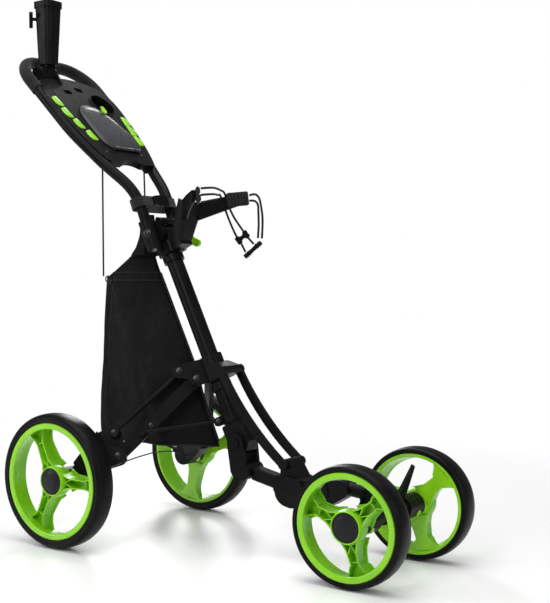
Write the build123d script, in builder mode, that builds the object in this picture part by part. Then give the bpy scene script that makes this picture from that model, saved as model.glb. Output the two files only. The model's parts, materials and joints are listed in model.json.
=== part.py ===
"""Four-wheel folding golf push cart with a fabric storage bag.

Frame: +Z up, the two small wheels toward -Y, the handle toward +Y, X across.
The floor is Z = 0 and the origin is the middle of the footprint box.
"left" is +X and "right" is -X, as seen by someone who faces the small wheels from behind.
"""
from build123d import *
from math import atan2, cos, degrees, hypot, radians, sin, tan
import os

os.makedirs("parts", exist_ok=True)

# ---------------------------------------------------------------- driving dimensions, mm
FRAME_SHIFT = 24.5  # moves the whole cart along Y so that the origin is mid footprint

REAR_R, REAR_TRACK, REAR_AXLE_Y = 147.5, 519.0, 220.0
FRONT_R, FRONT_TRACK, FRONT_AXLE_Y = 118.5, 285.0, -440.0
TYRE_W = 50.0  # tyre width, all four
RIM_W = 46.0  # rim width, all four
TYRE_DEPTH = 20.0  # tyre section height at the rear, scaled at the front
AXLE_R = 6.0
RUN_FIT = 0.05  # radial clearance of every running fit

POST_FOOT = (-90.0, 230.0)  # Y, Z of the front-frame pivot, on the post's axis
POST_HEAD = (133.0, 696.0)  # Y, Z of another point on the post's axis
POST_D, POST_WALL = 38.0, 2.0
HINGE_S = 508.0  # handle pivot, distance up the post from the foot pivot
HUB_S = (146.0, 204.0)  # sliding hub, from and to, along the post
STRUT_TOP = (155.0, 37.6)  # strut pin on the hub: along the post, forward of it
CLEVIS = (-218.0, 198.0)  # Y, Z of the strut pin on the front frame

HANDLE_D = 25.0
GRIP_D = 29.0
LOOP_HALF = 119.0  # half width of the handle loop's centre line

CONSOLE_FOOT = (226.0, 857.0)  # Y, Z of the console's low edge
CONSOLE_TILT = 45.5  # degrees above horizontal
CONSOLE_L = 285.0
CONSOLE_T = 16.0


def at(x, y, z):
    """A point of the cart in the part's own frame."""
    return Vector(x, y + FRAME_SHIFT, z)


# the post's own directions: "up" along it and "ahead" square to it toward the small wheels
_run, _rise = POST_HEAD[0] - POST_FOOT[0], POST_HEAD[1] - POST_FOOT[1]
_len = hypot(_run, _rise)
UP = Vector(0, _run / _len, _rise / _len)
AHEAD = Vector(0, -UP.Z, UP.Y)
FOOT = at(0, *POST_FOOT)


def on_post(s, ahead=0.0, x=0.0):
    """A point given by its distance along the post, ahead of it and across it."""
    return FOOT + UP * s + AHEAD * ahead + Vector(x, 0, 0)


def post_plane(s, ahead=0.0, x=0.0):
    """Sketch plane square to the post: sketch X is across, sketch Y is toward the handle."""
    return Plane(origin=on_post(s, ahead, x), x_dir=(1, 0, 0), z_dir=UP)


def side_plane(x, origin=None):
    """Plane across the cart at x, with sketch X along the cart (+Y) and sketch Y up."""
    base = origin if origin is not None else at(0, 0, 0)
    return Plane(origin=(x, base.Y, base.Z), x_dir=(0, 1, 0), z_dir=(1, 0, 0))


def yz(y, z):
    """Sketch point on side_plane for a cart position."""
    return (y, z)


# the rear-leg linkage lies in a plane that holds the post's direction
LEG_OUT = Vector(0.6386, 0.6942, -0.3322)
LEG_NORMAL = Vector(-0.7696, 0.5760, -0.2756)
LEG_OFFSET = 14.0  # the linkage plane's distance from the post's axis
HUB_LOW_PIN = (167.0, 46.0)  # along the post, out from it, in the linkage plane
HUB_HIGH_PIN = (196.0, 76.0)
CARRIER_LOW_PIN = (64.0, 266.0)
CARRIER_HIGH_PIN = (119.0, 258.0)
SPREADER_ROOT = (60.0, 34.0)
SPREADER_SHARE = 0.70  # place of the spreader's pin along the lower link
LOW_LANE, HIGH_LANE, SPREADER_LANE = -7.0, 7.0, -18.9  # link centres across the linkage


def leg_plane(side, lane=0.0):
    """Linkage plane: sketch X up the post, sketch Y outward. lane is the offset across it."""
    out = Vector(side * LEG_OUT.X, LEG_OUT.Y, LEG_OUT.Z)
    normal = Vector(side * LEG_NORMAL.X, LEG_NORMAL.Y, LEG_NORMAL.Z)
    origin = FOOT + normal * (LEG_OFFSET + lane)
    return Plane(origin=origin, x_dir=UP, z_dir=UP.cross(out))


def save(piece, label):
    piece.part.label = label
    export_step(piece.part, f"parts/{label}.step")


SIDES = {"right": -1, "left": 1}


def rod(a, b, radius, bore=0.0):
    """A straight bar or tube from a to b."""
    with BuildPart() as piece:
        with BuildSketch(Plane(origin=a, z_dir=b - a)):
            Circle(radius)
            if bore:
                Circle(bore, mode=Mode.SUBTRACT)
        extrude(amount=(b - a).length)
    return piece


def bent_tube(points, radii, outer_d, bore_d=0.0):
    """A round tube whose centre line is straight runs joined by tangent arcs."""
    with BuildPart() as piece:
        with BuildLine() as route:
            FilletPolyline(*points, radius=radii)
        with BuildSketch(Plane(origin=route.line @ 0, z_dir=route.line % 0)):
            Circle(outer_d / 2)
            if bore_d:
                Circle(bore_d / 2, mode=Mode.SUBTRACT)
        sweep(path=route.line)
    return piece


def corner_radii(points, share=0.45, first=0.45):
    """The largest tangent arc that each corner's shorter run allows. first is the share used of the first run."""
    radii = []
    for a, b, c in zip(points, points[1:], points[2:]):
        before, after = Vector(*b) - Vector(*a), Vector(*c) - Vector(*b)
        turn = radians(before.get_angle(after))
        radii.append(min(share * after.length, (share if radii else first) * before.length) / tan(turn / 2))
    return radii


# ---------------------------------------------------------------- wheels
def wheel_plane(side, centre):
    """Half-section plane of a wheel: sketch X outward along the axle, sketch Y up."""
    return Plane(origin=centre, x_dir=(side, 0, 0), z_dir=(0, -side, 0))


def wheel_face(side, centre, outward):
    """Plane square to the axle, outward from the wheel's middle by that much."""
    return Plane(origin=centre + Vector(side * outward, 0, 0), x_dir=(0, -1, 0), z_dir=(side, 0, 0))


HUB_BARREL_R = 32.5
CAP_R = 29.0
CAP_T = 5.0
BARREL_OUT = 20.0  # outer end of the rim's barrel from the wheel's middle
BARREL_IN = -20.0


def make_tyre(side, centre, outer_r, depth):
    half = TYRE_W / 2
    seat = outer_r - depth
    with BuildPart() as tyre:
        with BuildSketch(wheel_plane(side, centre)):
            with BuildLine():
                Polyline((-half + 7, outer_r - 3.5), (-half, outer_r - 10), (-half, seat + 2),
                         (-half + 2, seat), (half - 2, seat), (half, seat + 2),
                         (half, outer_r - 10), (half - 7, outer_r - 3.5))
                ThreePointArc((half - 7, outer_r - 3.5), (0, outer_r), (-half + 7, outer_r - 3.5))
            make_face()
        revolve(axis=Axis(centre, (1, 0, 0)))
    return tyre


def make_rim(side, centre, outer_r, depth, first_spoke):
    """Dished rim: a deep ring, three curved double-rib spokes and a barrel on the axle."""
    seat = outer_r - depth
    half = RIM_W / 2
    inner = seat - 13
    with BuildPart() as rim:
        with BuildSketch(wheel_plane(side, centre)):
            with BuildLine():
                Polyline((-half, seat), (half - 1, seat), (half + 1.5, seat - 2), (half + 1.5, inner + 2),
                         (half - 1, inner), (half - 6, inner + 4), (-half, inner + 8), (-half, seat))
            make_face()
        revolve(axis=Axis(centre, (1, 0, 0)))
        with BuildSketch(wheel_face(side, centre, BARREL_IN)):
            Circle(HUB_BARREL_R)
        extrude(amount=BARREL_OUT - BARREL_IN)
        for index in range(3):
            angle = first_spoke + 120 * index
            with BuildSketch(wheel_face(side, centre, -14)):
                for edge in (-1, 1):
                    with BuildLine(Plane.XY.rotated((0, 0, angle))):
                        Polyline((22, edge * 11), (HUB_BARREL_R + 14, edge * 5.5),
                                 (0.62 * seat, edge * 5.5), (seat - 18, edge * 10), (seat - 9, edge * 17),
                                 (seat - 9, edge * 11), (seat - 18, edge * 5.5),
                                 (0.62 * seat, edge * 2), (HUB_BARREL_R + 14, edge * 2),
                                 (22, edge * 5), (22, edge * 11))
                    make_face()
            extrude(amount=26)
            with BuildSketch(wheel_face(side, centre, -10)):
                for share in (0.5, 0.74):
                    with Locations(Rotation(0, 0, angle) * Pos(share * seat, 0)):
                        Rectangle(3, 8)
            extrude(amount=16)
        with BuildSketch(wheel_face(side, centre, BARREL_OUT - CAP_T)):
            Circle(CAP_R)
        extrude(amount=CAP_T, mode=Mode.SUBTRACT)
        with BuildSketch(wheel_face(side, centre, BARREL_IN)):
            Circle(AXLE_R + RUN_FIT)
        extrude(amount=BARREL_OUT - BARREL_IN - CAP_T, mode=Mode.SUBTRACT)
    return rim


def make_cap(side, centre):
    """Domed hub cap that fills the barrel's outer recess."""
    with BuildPart() as cap:
        with BuildSketch(wheel_plane(side, centre)):
            with BuildLine():
                low = BARREL_OUT - CAP_T
                Polyline((low, 0), (low, CAP_R), (BARREL_OUT + 1, CAP_R), (BARREL_OUT + 3, CAP_R - 3),
                         (BARREL_OUT + 5, 0), (low, 0))
            make_face()
        revolve(axis=Axis(centre, (1, 0, 0)))
    return cap


WHEELS = {
    "rear_right": (-1, at(-REAR_TRACK / 2, REAR_AXLE_Y, REAR_R), REAR_R, TYRE_DEPTH, 0),
    "rear_left": (1, at(REAR_TRACK / 2, REAR_AXLE_Y, REAR_R), REAR_R, TYRE_DEPTH, 10),
    "front_right": (-1, at(-FRONT_TRACK / 2, FRONT_AXLE_Y, FRONT_R), FRONT_R, 13.0, 42),
    "front_left": (1, at(FRONT_TRACK / 2, FRONT_AXLE_Y, FRONT_R), FRONT_R, 13.0, 75),
}
for place, (side, centre, outer_r, depth, spoke) in WHEELS.items():
    save(make_tyre(side, centre, outer_r, depth), f"tyre_{place}")
    save(make_rim(side, centre, outer_r, depth, spoke), f"rim_{place}")
    save(make_cap(side, centre), f"hub_cap_{place}")

# ---------------------------------------------------------------- axles
AXLE_TIP = BARREL_OUT - CAP_T - 1  # outer end of an axle from the wheel's middle
HOUSING_GAP = 0.5  # between a wheel's barrel and its housing


def housing_face(side, centre):
    """X of the bearing housing's outer face beside a wheel."""
    return centre.X + side * (BARREL_IN - HOUSING_GAP)


for place in ("rear_right", "rear_left"):
    side, centre = WHEELS[place][:2]
    inner = Vector(housing_face(side, centre) - side * 40, centre.Y, centre.Z)
    tip = Vector(centre.X + side * AXLE_TIP, centre.Y, centre.Z)
    save(rod(inner, tip, AXLE_R), f"axle_{place}")

front_tip = at(FRONT_TRACK / 2 + AXLE_TIP, FRONT_AXLE_Y, FRONT_R)
save(rod(Vector(-front_tip.X, front_tip.Y, front_tip.Z), front_tip, AXLE_R), "axle_front")

# ---------------------------------------------------------------- post and its fixed fittings
POST_FROM, POST_TO = 24.0, 484.0
save(rod(on_post(POST_FROM), on_post(POST_TO), POST_D / 2, POST_D / 2 - POST_WALL), "main_post")

COLLAR_R = 24.0
STOP_COLLARS = ((124.0, 140.0), (438.0, 452.0))
SPREADER_T = 7.0
EAR_LANE = SPREADER_LANE + SPREADER_T / 2 + 0.4  # face of the ear beside a spreader
with BuildPart() as post_collars:
    for low, high in STOP_COLLARS:
        with BuildSketch(post_plane(low)):
            Circle(COLLAR_R)
        extrude(amount=high - low)
    with BuildSketch(post_plane(48)):
        Circle(COLLAR_R)
    extrude(amount=24)
    for side in SIDES.values():
        with BuildSketch(leg_plane(side, EAR_LANE)):
            Polygon((50, 8), (70, 8), (70, 36), (66, 43), (54, 43), (50, 36), align=None)
        extrude(amount=side * 6)
        with BuildSketch(leg_plane(side, EAR_LANE)):
            with Locations(SPREADER_ROOT):
                Circle(3)
        extrude(amount=-side * (SPREADER_T + 3))
    with BuildSketch(post_plane(40)):
        Circle(POST_D / 2 + 0.02)
    extrude(amount=420, mode=Mode.SUBTRACT)
save(post_collars, "post_collars")

FOOT_HALF = 20.0
PIVOT_R = 7.0
with BuildPart() as foot_casting:
    with BuildSketch(Plane(origin=on_post(0, 0, -FOOT_HALF), x_dir=AHEAD, z_dir=(1, 0, 0))) as outline:
        # sketch X is ahead of the post, sketch Y runs down it
        with BuildLine():
            Polyline((-24, -46), (24, -46), (31, -24), (31, 6), (16, 24), (-14, 24), (-24, 10), (-24, -46))
        make_face()
    extrude(amount=2 * FOOT_HALF)
    fillet(foot_casting.edges().filter_by(Axis.X), 5)
    with BuildSketch(post_plane(POST_FROM)):
        Circle(POST_D / 2 + 0.02)
    extrude(amount=60, mode=Mode.SUBTRACT)
    with BuildSketch(Plane(origin=on_post(0, 0, -FOOT_HALF - 1), z_dir=(1, 0, 0))):
        Circle(PIVOT_R + RUN_FIT)
    extrude(amount=2 * FOOT_HALF + 2, mode=Mode.SUBTRACT)
save(foot_casting, "foot_casting")

# ---------------------------------------------------------------- handle hinge, fixed half
HINGE = on_post(HINGE_S)
DRUM_R = 23.0
INNER_HALF, OUTER_HALF = 17.0, 33.0  # the hinge's middle knuckle and its two outer knuckles
with BuildPart() as hinge_base:
    with BuildSketch(post_plane(456)):
        RectangleRounded(48, 48, 10)
    extrude(amount=POST_TO - 456)
    with BuildSketch(post_plane(466)):
        RectangleRounded(2 * INNER_HALF, 2 * DRUM_R, 4)
    extrude(amount=HINGE_S - 466)
    with BuildSketch(Plane(origin=HINGE - Vector(INNER_HALF, 0, 0), z_dir=(1, 0, 0))):
        Circle(DRUM_R)
    extrude(amount=2 * INNER_HALF)
    with BuildSketch(post_plane(450)):
        Circle(POST_D / 2 + 0.02)
    extrude(amount=POST_TO - 449.9, mode=Mode.SUBTRACT)
    with BuildSketch(Plane(origin=HINGE - Vector(INNER_HALF + 1, 0, 0), z_dir=(1, 0, 0))):
        Circle(PIVOT_R + RUN_FIT)
    extrude(amount=2 * INNER_HALF + 2, mode=Mode.SUBTRACT)
save(hinge_base, "hinge_base")

# ---------------------------------------------------------------- upper bag bracket
PAD_HEADING = 42.0
PAD_T = 7.0
with BuildPart() as bag_bracket:
    with BuildSketch(post_plane(458)):
        with Locations((0, -37)):
            RectangleRounded(44, 26, 4)
    extrude(amount=34)
    with BuildSketch(Plane(origin=at(0, 80, 680), x_dir=(1, 0, 0), z_dir=(0, -0.45, 0.893))):
        RectangleRounded(46, 36, 8)
    with BuildSketch(Plane(origin=at(0, 52, 762), x_dir=(1, 0, 0), z_dir=(0, -0.3, 0.954))):
        RectangleRounded(70, 30, 10)
    loft()
    for side in SIDES.values():
        for x, y, z, height, thick in ((22, 52, 738, 42, 15), (56, 16, 752, 34, 11), (84, -20, 764, 26, 8)):
            heading = Vector(side * 0.66, -0.75, 0.18)
            with BuildSketch(Plane(origin=at(side * x, y, z), x_dir=heading.cross(Vector(0, 0, 1)), z_dir=heading)):
                RectangleRounded(thick, height, thick / 2 - 0.5)
        loft()
save(bag_bracket, "bag_bracket")

with BuildPart() as bracket_pads:
    for side in SIDES.values():
        face = Vector(side * -sin(radians(PAD_HEADING)), -cos(radians(PAD_HEADING)), 0.12)
        along = Vector(side * cos(radians(PAD_HEADING)), -sin(radians(PAD_HEADING)), 0.1)
        with BuildSketch(Plane(origin=at(side * 76, -21, 765), x_dir=along, z_dir=face)):
            RectangleRounded(50, 32, 5)
        extrude(amount=PAD_T)
save(bracket_pads, "bracket_pads")

# ---------------------------------------------------------------- sliding hub
LINK_T = 12.0
PIN_R = 6.0
WING_LANE = LOW_LANE - LINK_T / 2 - 0.6  # face of the hub's wing plates beside the lower links
PIN_TOP = HIGH_LANE + LINK_T / 2 + 0.6
STRUT_X, STRUT_T, STRUT_PIN_R = 33.0, 10.0, 5.0
BOSS_HALF = STRUT_X - STRUT_T / 2 - 0.5
with BuildPart() as hub_casting:
    with BuildSketch(post_plane(HUB_S[0])):
        Circle(26)
    extrude(amount=HUB_S[1] - HUB_S[0])
    with BuildSketch(side_plane(-BOSS_HALF, on_post(0))):
        with BuildLine(Plane.XY.rotated((0, 0, degrees(atan2(UP.Z, UP.Y))))):
            Polyline((HUB_S[0], 0), (HUB_S[0], STRUT_TOP[1] + 8), (152, STRUT_TOP[1] + 12),
                     (162, STRUT_TOP[1] + 11), (184, 22), (184, 0), (HUB_S[0], 0))
        make_face()
    extrude(amount=2 * BOSS_HALF)
    for side in SIDES.values():
        with BuildSketch(Plane(origin=on_post(STRUT_TOP[0], STRUT_TOP[1], side * (BOSS_HALF - 2)),
                               z_dir=(side, 0, 0))):
            Circle(STRUT_PIN_R)
        extrude(amount=STRUT_T + 3)
        with BuildSketch(leg_plane(side, WING_LANE)):
            Polygon((147, 10), (151, 48), (158, 61), (172, 64), (182, 86), (192, 93), (204, 90),
                    (210, 78), (208, 64), (203, 10), align=None)
        extrude(amount=-side * 6.5)
        with BuildSketch(leg_plane(side, WING_LANE - 1)):
            with Locations(HUB_LOW_PIN, HUB_HIGH_PIN):
                Circle(PIN_R)
        extrude(amount=side * (LINK_T + 1.6))
        with BuildSketch(leg_plane(side, WING_LANE - 1)):
            with Locations(HUB_HIGH_PIN):
                Circle(PIN_R)
        extrude(amount=side * (PIN_TOP - WING_LANE + 1))
    with BuildSketch(post_plane(HUB_S[0] - 1)):
        Circle(POST_D / 2 + RUN_FIT)
    extrude(amount=HUB_S[1] - HUB_S[0] + 2, mode=Mode.SUBTRACT)
save(hub_casting, "hub_casting")


def between(a, b, share):
    return tuple(p + (q - p) * share for p, q in zip(a, b))


SPREADER_PIN = between(HUB_LOW_PIN, CARRIER_LOW_PIN, SPREADER_SHARE)


def lower_link(side):
    with BuildPart() as link:
        with BuildSketch(leg_plane(side, LOW_LANE - LINK_T / 2)):
            for point in (HUB_LOW_PIN, CARRIER_LOW_PIN):
                with Locations(point):
                    Circle(14)
            make_hull()
            with Locations(HUB_LOW_PIN, CARRIER_LOW_PIN):
                Circle(PIN_R + RUN_FIT, mode=Mode.SUBTRACT)
        extrude(amount=side * LINK_T)
        with BuildSketch(leg_plane(side, LOW_LANE)):
            with Locations(SPREADER_PIN):
                Circle(5)
        extrude(amount=-side * (LOW_LANE - SPREADER_LANE - SPREADER_T / 2 - 0.4))
    return link


def upper_link(side):
    with BuildPart() as link:
        for point in (HUB_HIGH_PIN, CARRIER_HIGH_PIN):
            with BuildSketch(leg_plane(side, HIGH_LANE - LINK_T / 2)):
                with Locations(point):
                    Circle(11)
            extrude(amount=side * LINK_T)
        plane = leg_plane(side, HIGH_LANE)
        a, b = plane.from_local_coords(HUB_HIGH_PIN), plane.from_local_coords(CARRIER_HIGH_PIN)
        with BuildSketch(Plane(origin=a, z_dir=b - a)):
            Circle(6.2)
        extrude(amount=(b - a).length)
        with BuildSketch(leg_plane(side, HIGH_LANE - LINK_T)):
            with Locations(HUB_HIGH_PIN):
                Circle(PIN_R + RUN_FIT)
        extrude(amount=side * 2 * LINK_T, mode=Mode.SUBTRACT)
    return link


def spreader(side):
    with BuildPart() as link:
        for point in (SPREADER_ROOT, SPREADER_PIN):
            with BuildSketch(leg_plane(side, SPREADER_LANE - SPREADER_T / 2)):
                with Locations(point):
                    Circle(8)
            extrude(amount=side * SPREADER_T)
        plane = leg_plane(side, SPREADER_LANE)
        a, b = plane.from_local_coords(SPREADER_ROOT), plane.from_local_coords(SPREADER_PIN)
        with BuildSketch(Plane(origin=a, z_dir=b - a)):
            Circle(SPREADER_T / 2 - 0.1)
        extrude(amount=(b - a).length)
        with BuildSketch(leg_plane(side, SPREADER_LANE - SPREADER_T)):
            with Locations(SPREADER_ROOT):
                Circle(3 + RUN_FIT)
        extrude(amount=side * 2 * SPREADER_T, mode=Mode.SUBTRACT)
    return link


CHEEK_LANE = HIGH_LANE + LINK_T / 2 + 1.2
CHEEK_T = 5.5
BARREL_R = 25.0
BUTTON_R = 6.5
BUTTON_BORE = 11.0
BUTTON_DIRECTION = Vector(0, -0.86, -0.5)


PEDAL_X = (196.0, 222.0)  # the brake pedal's knuckle, from and to, on the left carrier
PEDAL_PIN = (254.0, 157.0)  # Y, Z of its pin


def button_plane(centre, depth):
    """Plane square to a release button, that deep below the housing's skin."""
    return Plane(origin=centre + BUTTON_DIRECTION.normalized() * (BARREL_R - depth), z_dir=BUTTON_DIRECTION)


def button_centre(place, inward=22.0):
    side, centre = WHEELS[place][:2]
    return Vector(housing_face(side, centre) - side * inward, centre.Y, centre.Z)


def release_button(place):
    with BuildPart() as button:
        with BuildSketch(button_plane(button_centre(place), 6)):
            Circle(BUTTON_R)
        extrude(amount=9)
        fillet(button.edges().sort_by(Axis(button_centre(place), BUTTON_DIRECTION))[-1], 1.5)
    return button


def wheel_carrier(side, place):
    centre = WHEELS[place][1]
    with BuildPart() as carrier:
        with BuildSketch(leg_plane(side, CHEEK_LANE)):
            with Locations(CARRIER_LOW_PIN):
                Circle(18)
            with Locations(CARRIER_HIGH_PIN):
                Circle(15)
            with Locations((90, 298)):
                Rectangle(84, 30)
            make_hull()
        extrude(amount=side * CHEEK_T)
        with BuildSketch(leg_plane(side, -CHEEK_LANE)):
            with Locations(CARRIER_LOW_PIN):
                Circle(18)
            with Locations((72, 296)):
                Rectangle(52, 26)
            make_hull()
        extrude(amount=-side * CHEEK_T)
        with BuildSketch(leg_plane(side, -CHEEK_LANE - 1)):
            with Locations(CARRIER_LOW_PIN):
                Circle(PIN_R)
        extrude(amount=side * (2 * CHEEK_LANE + 2))
        with BuildSketch(leg_plane(side, CHEEK_LANE + 1)):
            with Locations(CARRIER_HIGH_PIN):
                Circle(PIN_R)
        extrude(amount=-side * 1.8)
        flat = leg_plane(side)
        start = flat.from_local_coords((90, 292, 0))
        stop = Vector(housing_face(side, centre) - side * 34, centre.Y - 4, centre.Z + 6)
        outward = flat.y_dir
        with BuildSketch(Plane(origin=start, x_dir=flat.x_dir, z_dir=outward)):
            RectangleRounded(84, 2 * (CHEEK_LANE + CHEEK_T), 6)
        with BuildSketch(Plane(origin=stop - outward * 4, x_dir=flat.x_dir, z_dir=outward)):
            RectangleRounded(52, 40, 10)
        loft()
        with BuildSketch(Plane(origin=Vector(housing_face(side, centre), centre.Y, centre.Z),
                               x_dir=(0, 1, 0), z_dir=(-side, 0, 0))):
            Circle(BARREL_R)
        extrude(amount=56)
        with BuildSketch(Plane(origin=Vector(housing_face(side, centre), centre.Y, centre.Z),
                               x_dir=(0, 1, 0), z_dir=(-side, 0, 0))):
            Circle(AXLE_R + 0.02)
        extrude(amount=40, mode=Mode.SUBTRACT)
        with BuildSketch(button_plane(button_centre(place), BUTTON_BORE)):
            Circle(BUTTON_R + RUN_FIT)
        extrude(amount=30, mode=Mode.SUBTRACT)
        if side > 0:
            # two lugs and a pin for the brake pedal
            for x in (PEDAL_X[0] - 4.5, PEDAL_X[1] + 0.5):
                with BuildSketch(side_plane(x)):
                    with Locations(PEDAL_PIN):
                        Circle(5)
                    with Locations((centre.Y - FRAME_SHIFT + 18, centre.Z + 6)):
                        Circle(6)
                    make_hull()
                extrude(amount=4)
            with BuildSketch(side_plane(PEDAL_X[0] - 2)):
                with Locations(PEDAL_PIN):
                    Circle(2.5)
            extrude(amount=PEDAL_X[1] - PEDAL_X[0] + 4)
    return carrier


for name, side in SIDES.items():
    save(lower_link(side), f"lower_link_{name}")
    save(upper_link(side), f"upper_link_{name}")
    save(spreader(side), f"spreader_{name}")
    save(wheel_carrier(side, f"rear_{name}"), f"wheel_carrier_{name}")
for place in WHEELS:
    save(release_button(place), f"release_button_{place}")

# ---------------------------------------------------------------- front frame
CHEEK_X = (FOOT_HALF + 0.8, FOOT_HALF + 9.0)
TUBE_FROM, TUBE_TO = (-97.0, 173.0), (-205.0, 150.0)
HOUSING_AT = (-228.0, 142.0)
KNUCKLE = ((-300.0, 150.0), (-345.0, 158.0))
NOSE_TUBE_R = 14.0


def disc_hull(x, thickness, *discs):
    """Flat plate across the cart at x, the outline being the hull of discs (y, z, radius)."""
    with BuildSketch(side_plane(x)) as plate:
        for y, z, radius in discs:
            with Locations((y, z)):
                Circle(radius)
        make_hull()
    extrude(plate.sketch, amount=thickness)


with BuildPart() as front_yoke:
    for side in SIDES.values():
        disc_hull(side * CHEEK_X[0], side * (CHEEK_X[1] - CHEEK_X[0]), (*POST_FOOT, 21), (-98, 174, 20))
        with BuildSketch(Plane(origin=at(side * CHEEK_X[1], *POST_FOOT), z_dir=(side, 0, 0))):
            Circle(11)
        extrude(amount=3)
    disc_hull(-CHEEK_X[1], 2 * CHEEK_X[1], (-96, 174, 16), (-110, 170, 18))
    with BuildSketch(Plane(origin=at(-CHEEK_X[1], *POST_FOOT), z_dir=(1, 0, 0))):
        Circle(PIVOT_R)
    extrude(amount=2 * CHEEK_X[1])
save(front_yoke, "front_yoke")

tube_way = at(0, *TUBE_TO) - at(0, *TUBE_FROM)
tube_start = at(0, *TUBE_FROM) + tube_way.normalized() * 31.5
with BuildPart() as front_tube:
    with BuildSketch(Plane(origin=tube_start, x_dir=(1, 0, 0), z_dir=tube_way)):
        RectangleRounded(34, 30, 8)
        RectangleRounded(29, 25, 6, mode=Mode.SUBTRACT)
    extrude(amount=tube_way.length - 31.5)
save(front_tube, "front_tube")

HOUSING_HALF = BOSS_HALF - 1.5
nose_start, nose_end = at(0, -347, 159), at(0, -404, 154)
with BuildPart() as front_housing:
    disc_hull(-34, 68, (*HOUSING_AT, 32), (-236, 140, 32))
    disc_hull(-HOUSING_HALF, 2 * HOUSING_HALF, (-228, 158, 24), (*CLEVIS, 11))
    disc_hull(-25, 50, (-232, 142, 24), (KNUCKLE[0][0], KNUCKLE[0][1], 20))
    disc_hull(-22, 44, (*KNUCKLE[0], 22), (*KNUCKLE[1], 19), (-312, 134, 16))
    with BuildSketch(Plane(origin=at(0, *TUBE_TO) - tube_way.normalized() * 18, x_dir=(1, 0, 0), z_dir=tube_way)):
        RectangleRounded(44, 40, 10)
    extrude(amount=40)
    for side in SIDES.values():
        with BuildSketch(Plane(origin=at(side * (HOUSING_HALF - 1), *CLEVIS), z_dir=(side, 0, 0))):
            Circle(STRUT_PIN_R)
        extrude(amount=2)
    with BuildSketch(Plane(origin=at(0, *TUBE_TO) - tube_way.normalized() * 30, x_dir=(1, 0, 0), z_dir=tube_way)):
        RectangleRounded(34.1, 30.1, 8)
    extrude(amount=30.1, mode=Mode.SUBTRACT)
    with BuildSketch(Plane(origin=nose_start, z_dir=nose_end - nose_start)):
        Circle(NOSE_TUBE_R)
    extrude(amount=(nose_end - nose_start).length)
save(front_housing, "front_housing")

BEAM_HOUSING = (62.0, 122.0)
with BuildPart() as front_crossbeam:
    disc_hull(-24, 48, (-412, 150, 19), (-424, 140, 19))
    disc_hull(-20, 40, (-424, 140, 17), (FRONT_AXLE_Y, FRONT_R, 20))
    with BuildSketch(side_plane(-BEAM_HOUSING[0])):
        with Locations((FRONT_AXLE_Y, FRONT_R)):
            Circle(17)
    extrude(amount=2 * BEAM_HOUSING[0])
    for side in SIDES.values():
        with BuildSketch(side_plane(side * BEAM_HOUSING[0])):
            with Locations((FRONT_AXLE_Y, FRONT_R)):
                Circle(BARREL_R)
        extrude(amount=side * (BEAM_HOUSING[1] - BEAM_HOUSING[0]))
        for x, y, z, width, thick in ((72, -430, 132, 30, 16), (80, -446, 176, 24, 9), (87, -455, 206, 16, 5)):
            rising = Vector(side * 0.16, -0.33, 0.93)
            with BuildSketch(Plane(origin=at(side * x, y, z), x_dir=(side * 0.75, 0.66, 0.1), z_dir=rising)):
                RectangleRounded(width, thick, thick / 2 - 0.4)
        loft()
    with BuildSketch(side_plane(-BEAM_HOUSING[1] - 1)):
        with Locations((FRONT_AXLE_Y, FRONT_R)):
            Circle(AXLE_R + 0.02)
    extrude(amount=2 * BEAM_HOUSING[1] + 2, mode=Mode.SUBTRACT)
    with BuildSketch(Plane(origin=nose_start, z_dir=nose_end - nose_start)):
        Circle(NOSE_TUBE_R + 0.02)
    extrude(amount=(nose_end - nose_start).length + 0.1, mode=Mode.SUBTRACT)
    for place in ("front_right", "front_left"):
        with BuildSketch(button_plane(button_centre(place), BUTTON_BORE)):
            Circle(BUTTON_R + RUN_FIT)
        extrude(amount=30, mode=Mode.SUBTRACT)
save(front_crossbeam, "front_crossbeam")

# two bowed struts from the sliding hub down to the front housing
strut_a, strut_b = on_post(*STRUT_TOP), at(0, *CLEVIS)
strut_way = strut_b - strut_a
strut_side = Vector(0, -strut_way.Z, strut_way.Y).normalized()
if strut_side.Z > 0:
    strut_side = strut_side * -1


def strut(side):
    """Bowed bar: the bow hangs below the straight line between its two pins."""
    def spot(share, sag):
        return strut_a + strut_way * share + strut_side * sag

    def flat(point):
        return (point.Y - strut_a.Y, point.Z - strut_a.Z)

    base = Plane(origin=(side * (STRUT_X - STRUT_T / 2), strut_a.Y, strut_a.Z), x_dir=(0, 1, 0), z_dir=(1, 0, 0))
    with BuildPart() as bar:
        with BuildSketch(base):
            with BuildLine():
                upper = Spline(flat(spot(0, -8)), flat(spot(0.5, 4)), flat(spot(1, -8)))
                lower = Spline(flat(spot(0, 9)), flat(spot(0.5, 22)), flat(spot(1, 9)))
                Line(upper @ 0, lower @ 0)
                Line(upper @ 1, lower @ 1)
            make_face()
            with Locations(flat(strut_a)):
                Circle(12)
            with Locations(flat(strut_b)):
                Circle(11)
            with Locations(flat(strut_a)):
                Circle(STRUT_PIN_R + RUN_FIT, mode=Mode.SUBTRACT)
        extrude(amount=side * STRUT_T)
    return bar


for name, side in SIDES.items():
    save(strut(side), f"strut_{name}")

# ---------------------------------------------------------------- handle
CONSOLE_UP = Vector(0, cos(radians(CONSOLE_TILT)), sin(radians(CONSOLE_TILT)))
CONSOLE_FACE = Vector(0, -CONSOLE_UP.Z, CONSOLE_UP.Y)


def on_console(x, along, above=0.0):
    """A point given across the console, along it from its low edge, and above its face."""
    return at(0, *CONSOLE_FOOT) + Vector(x, 0, 0) + CONSOLE_UP * along + CONSOLE_FACE * above


def console_plane(above=0.0, x=0.0, along=0.0):
    return Plane(origin=on_console(x, along, above), x_dir=(1, 0, 0), z_dir=CONSOLE_FACE)


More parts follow.
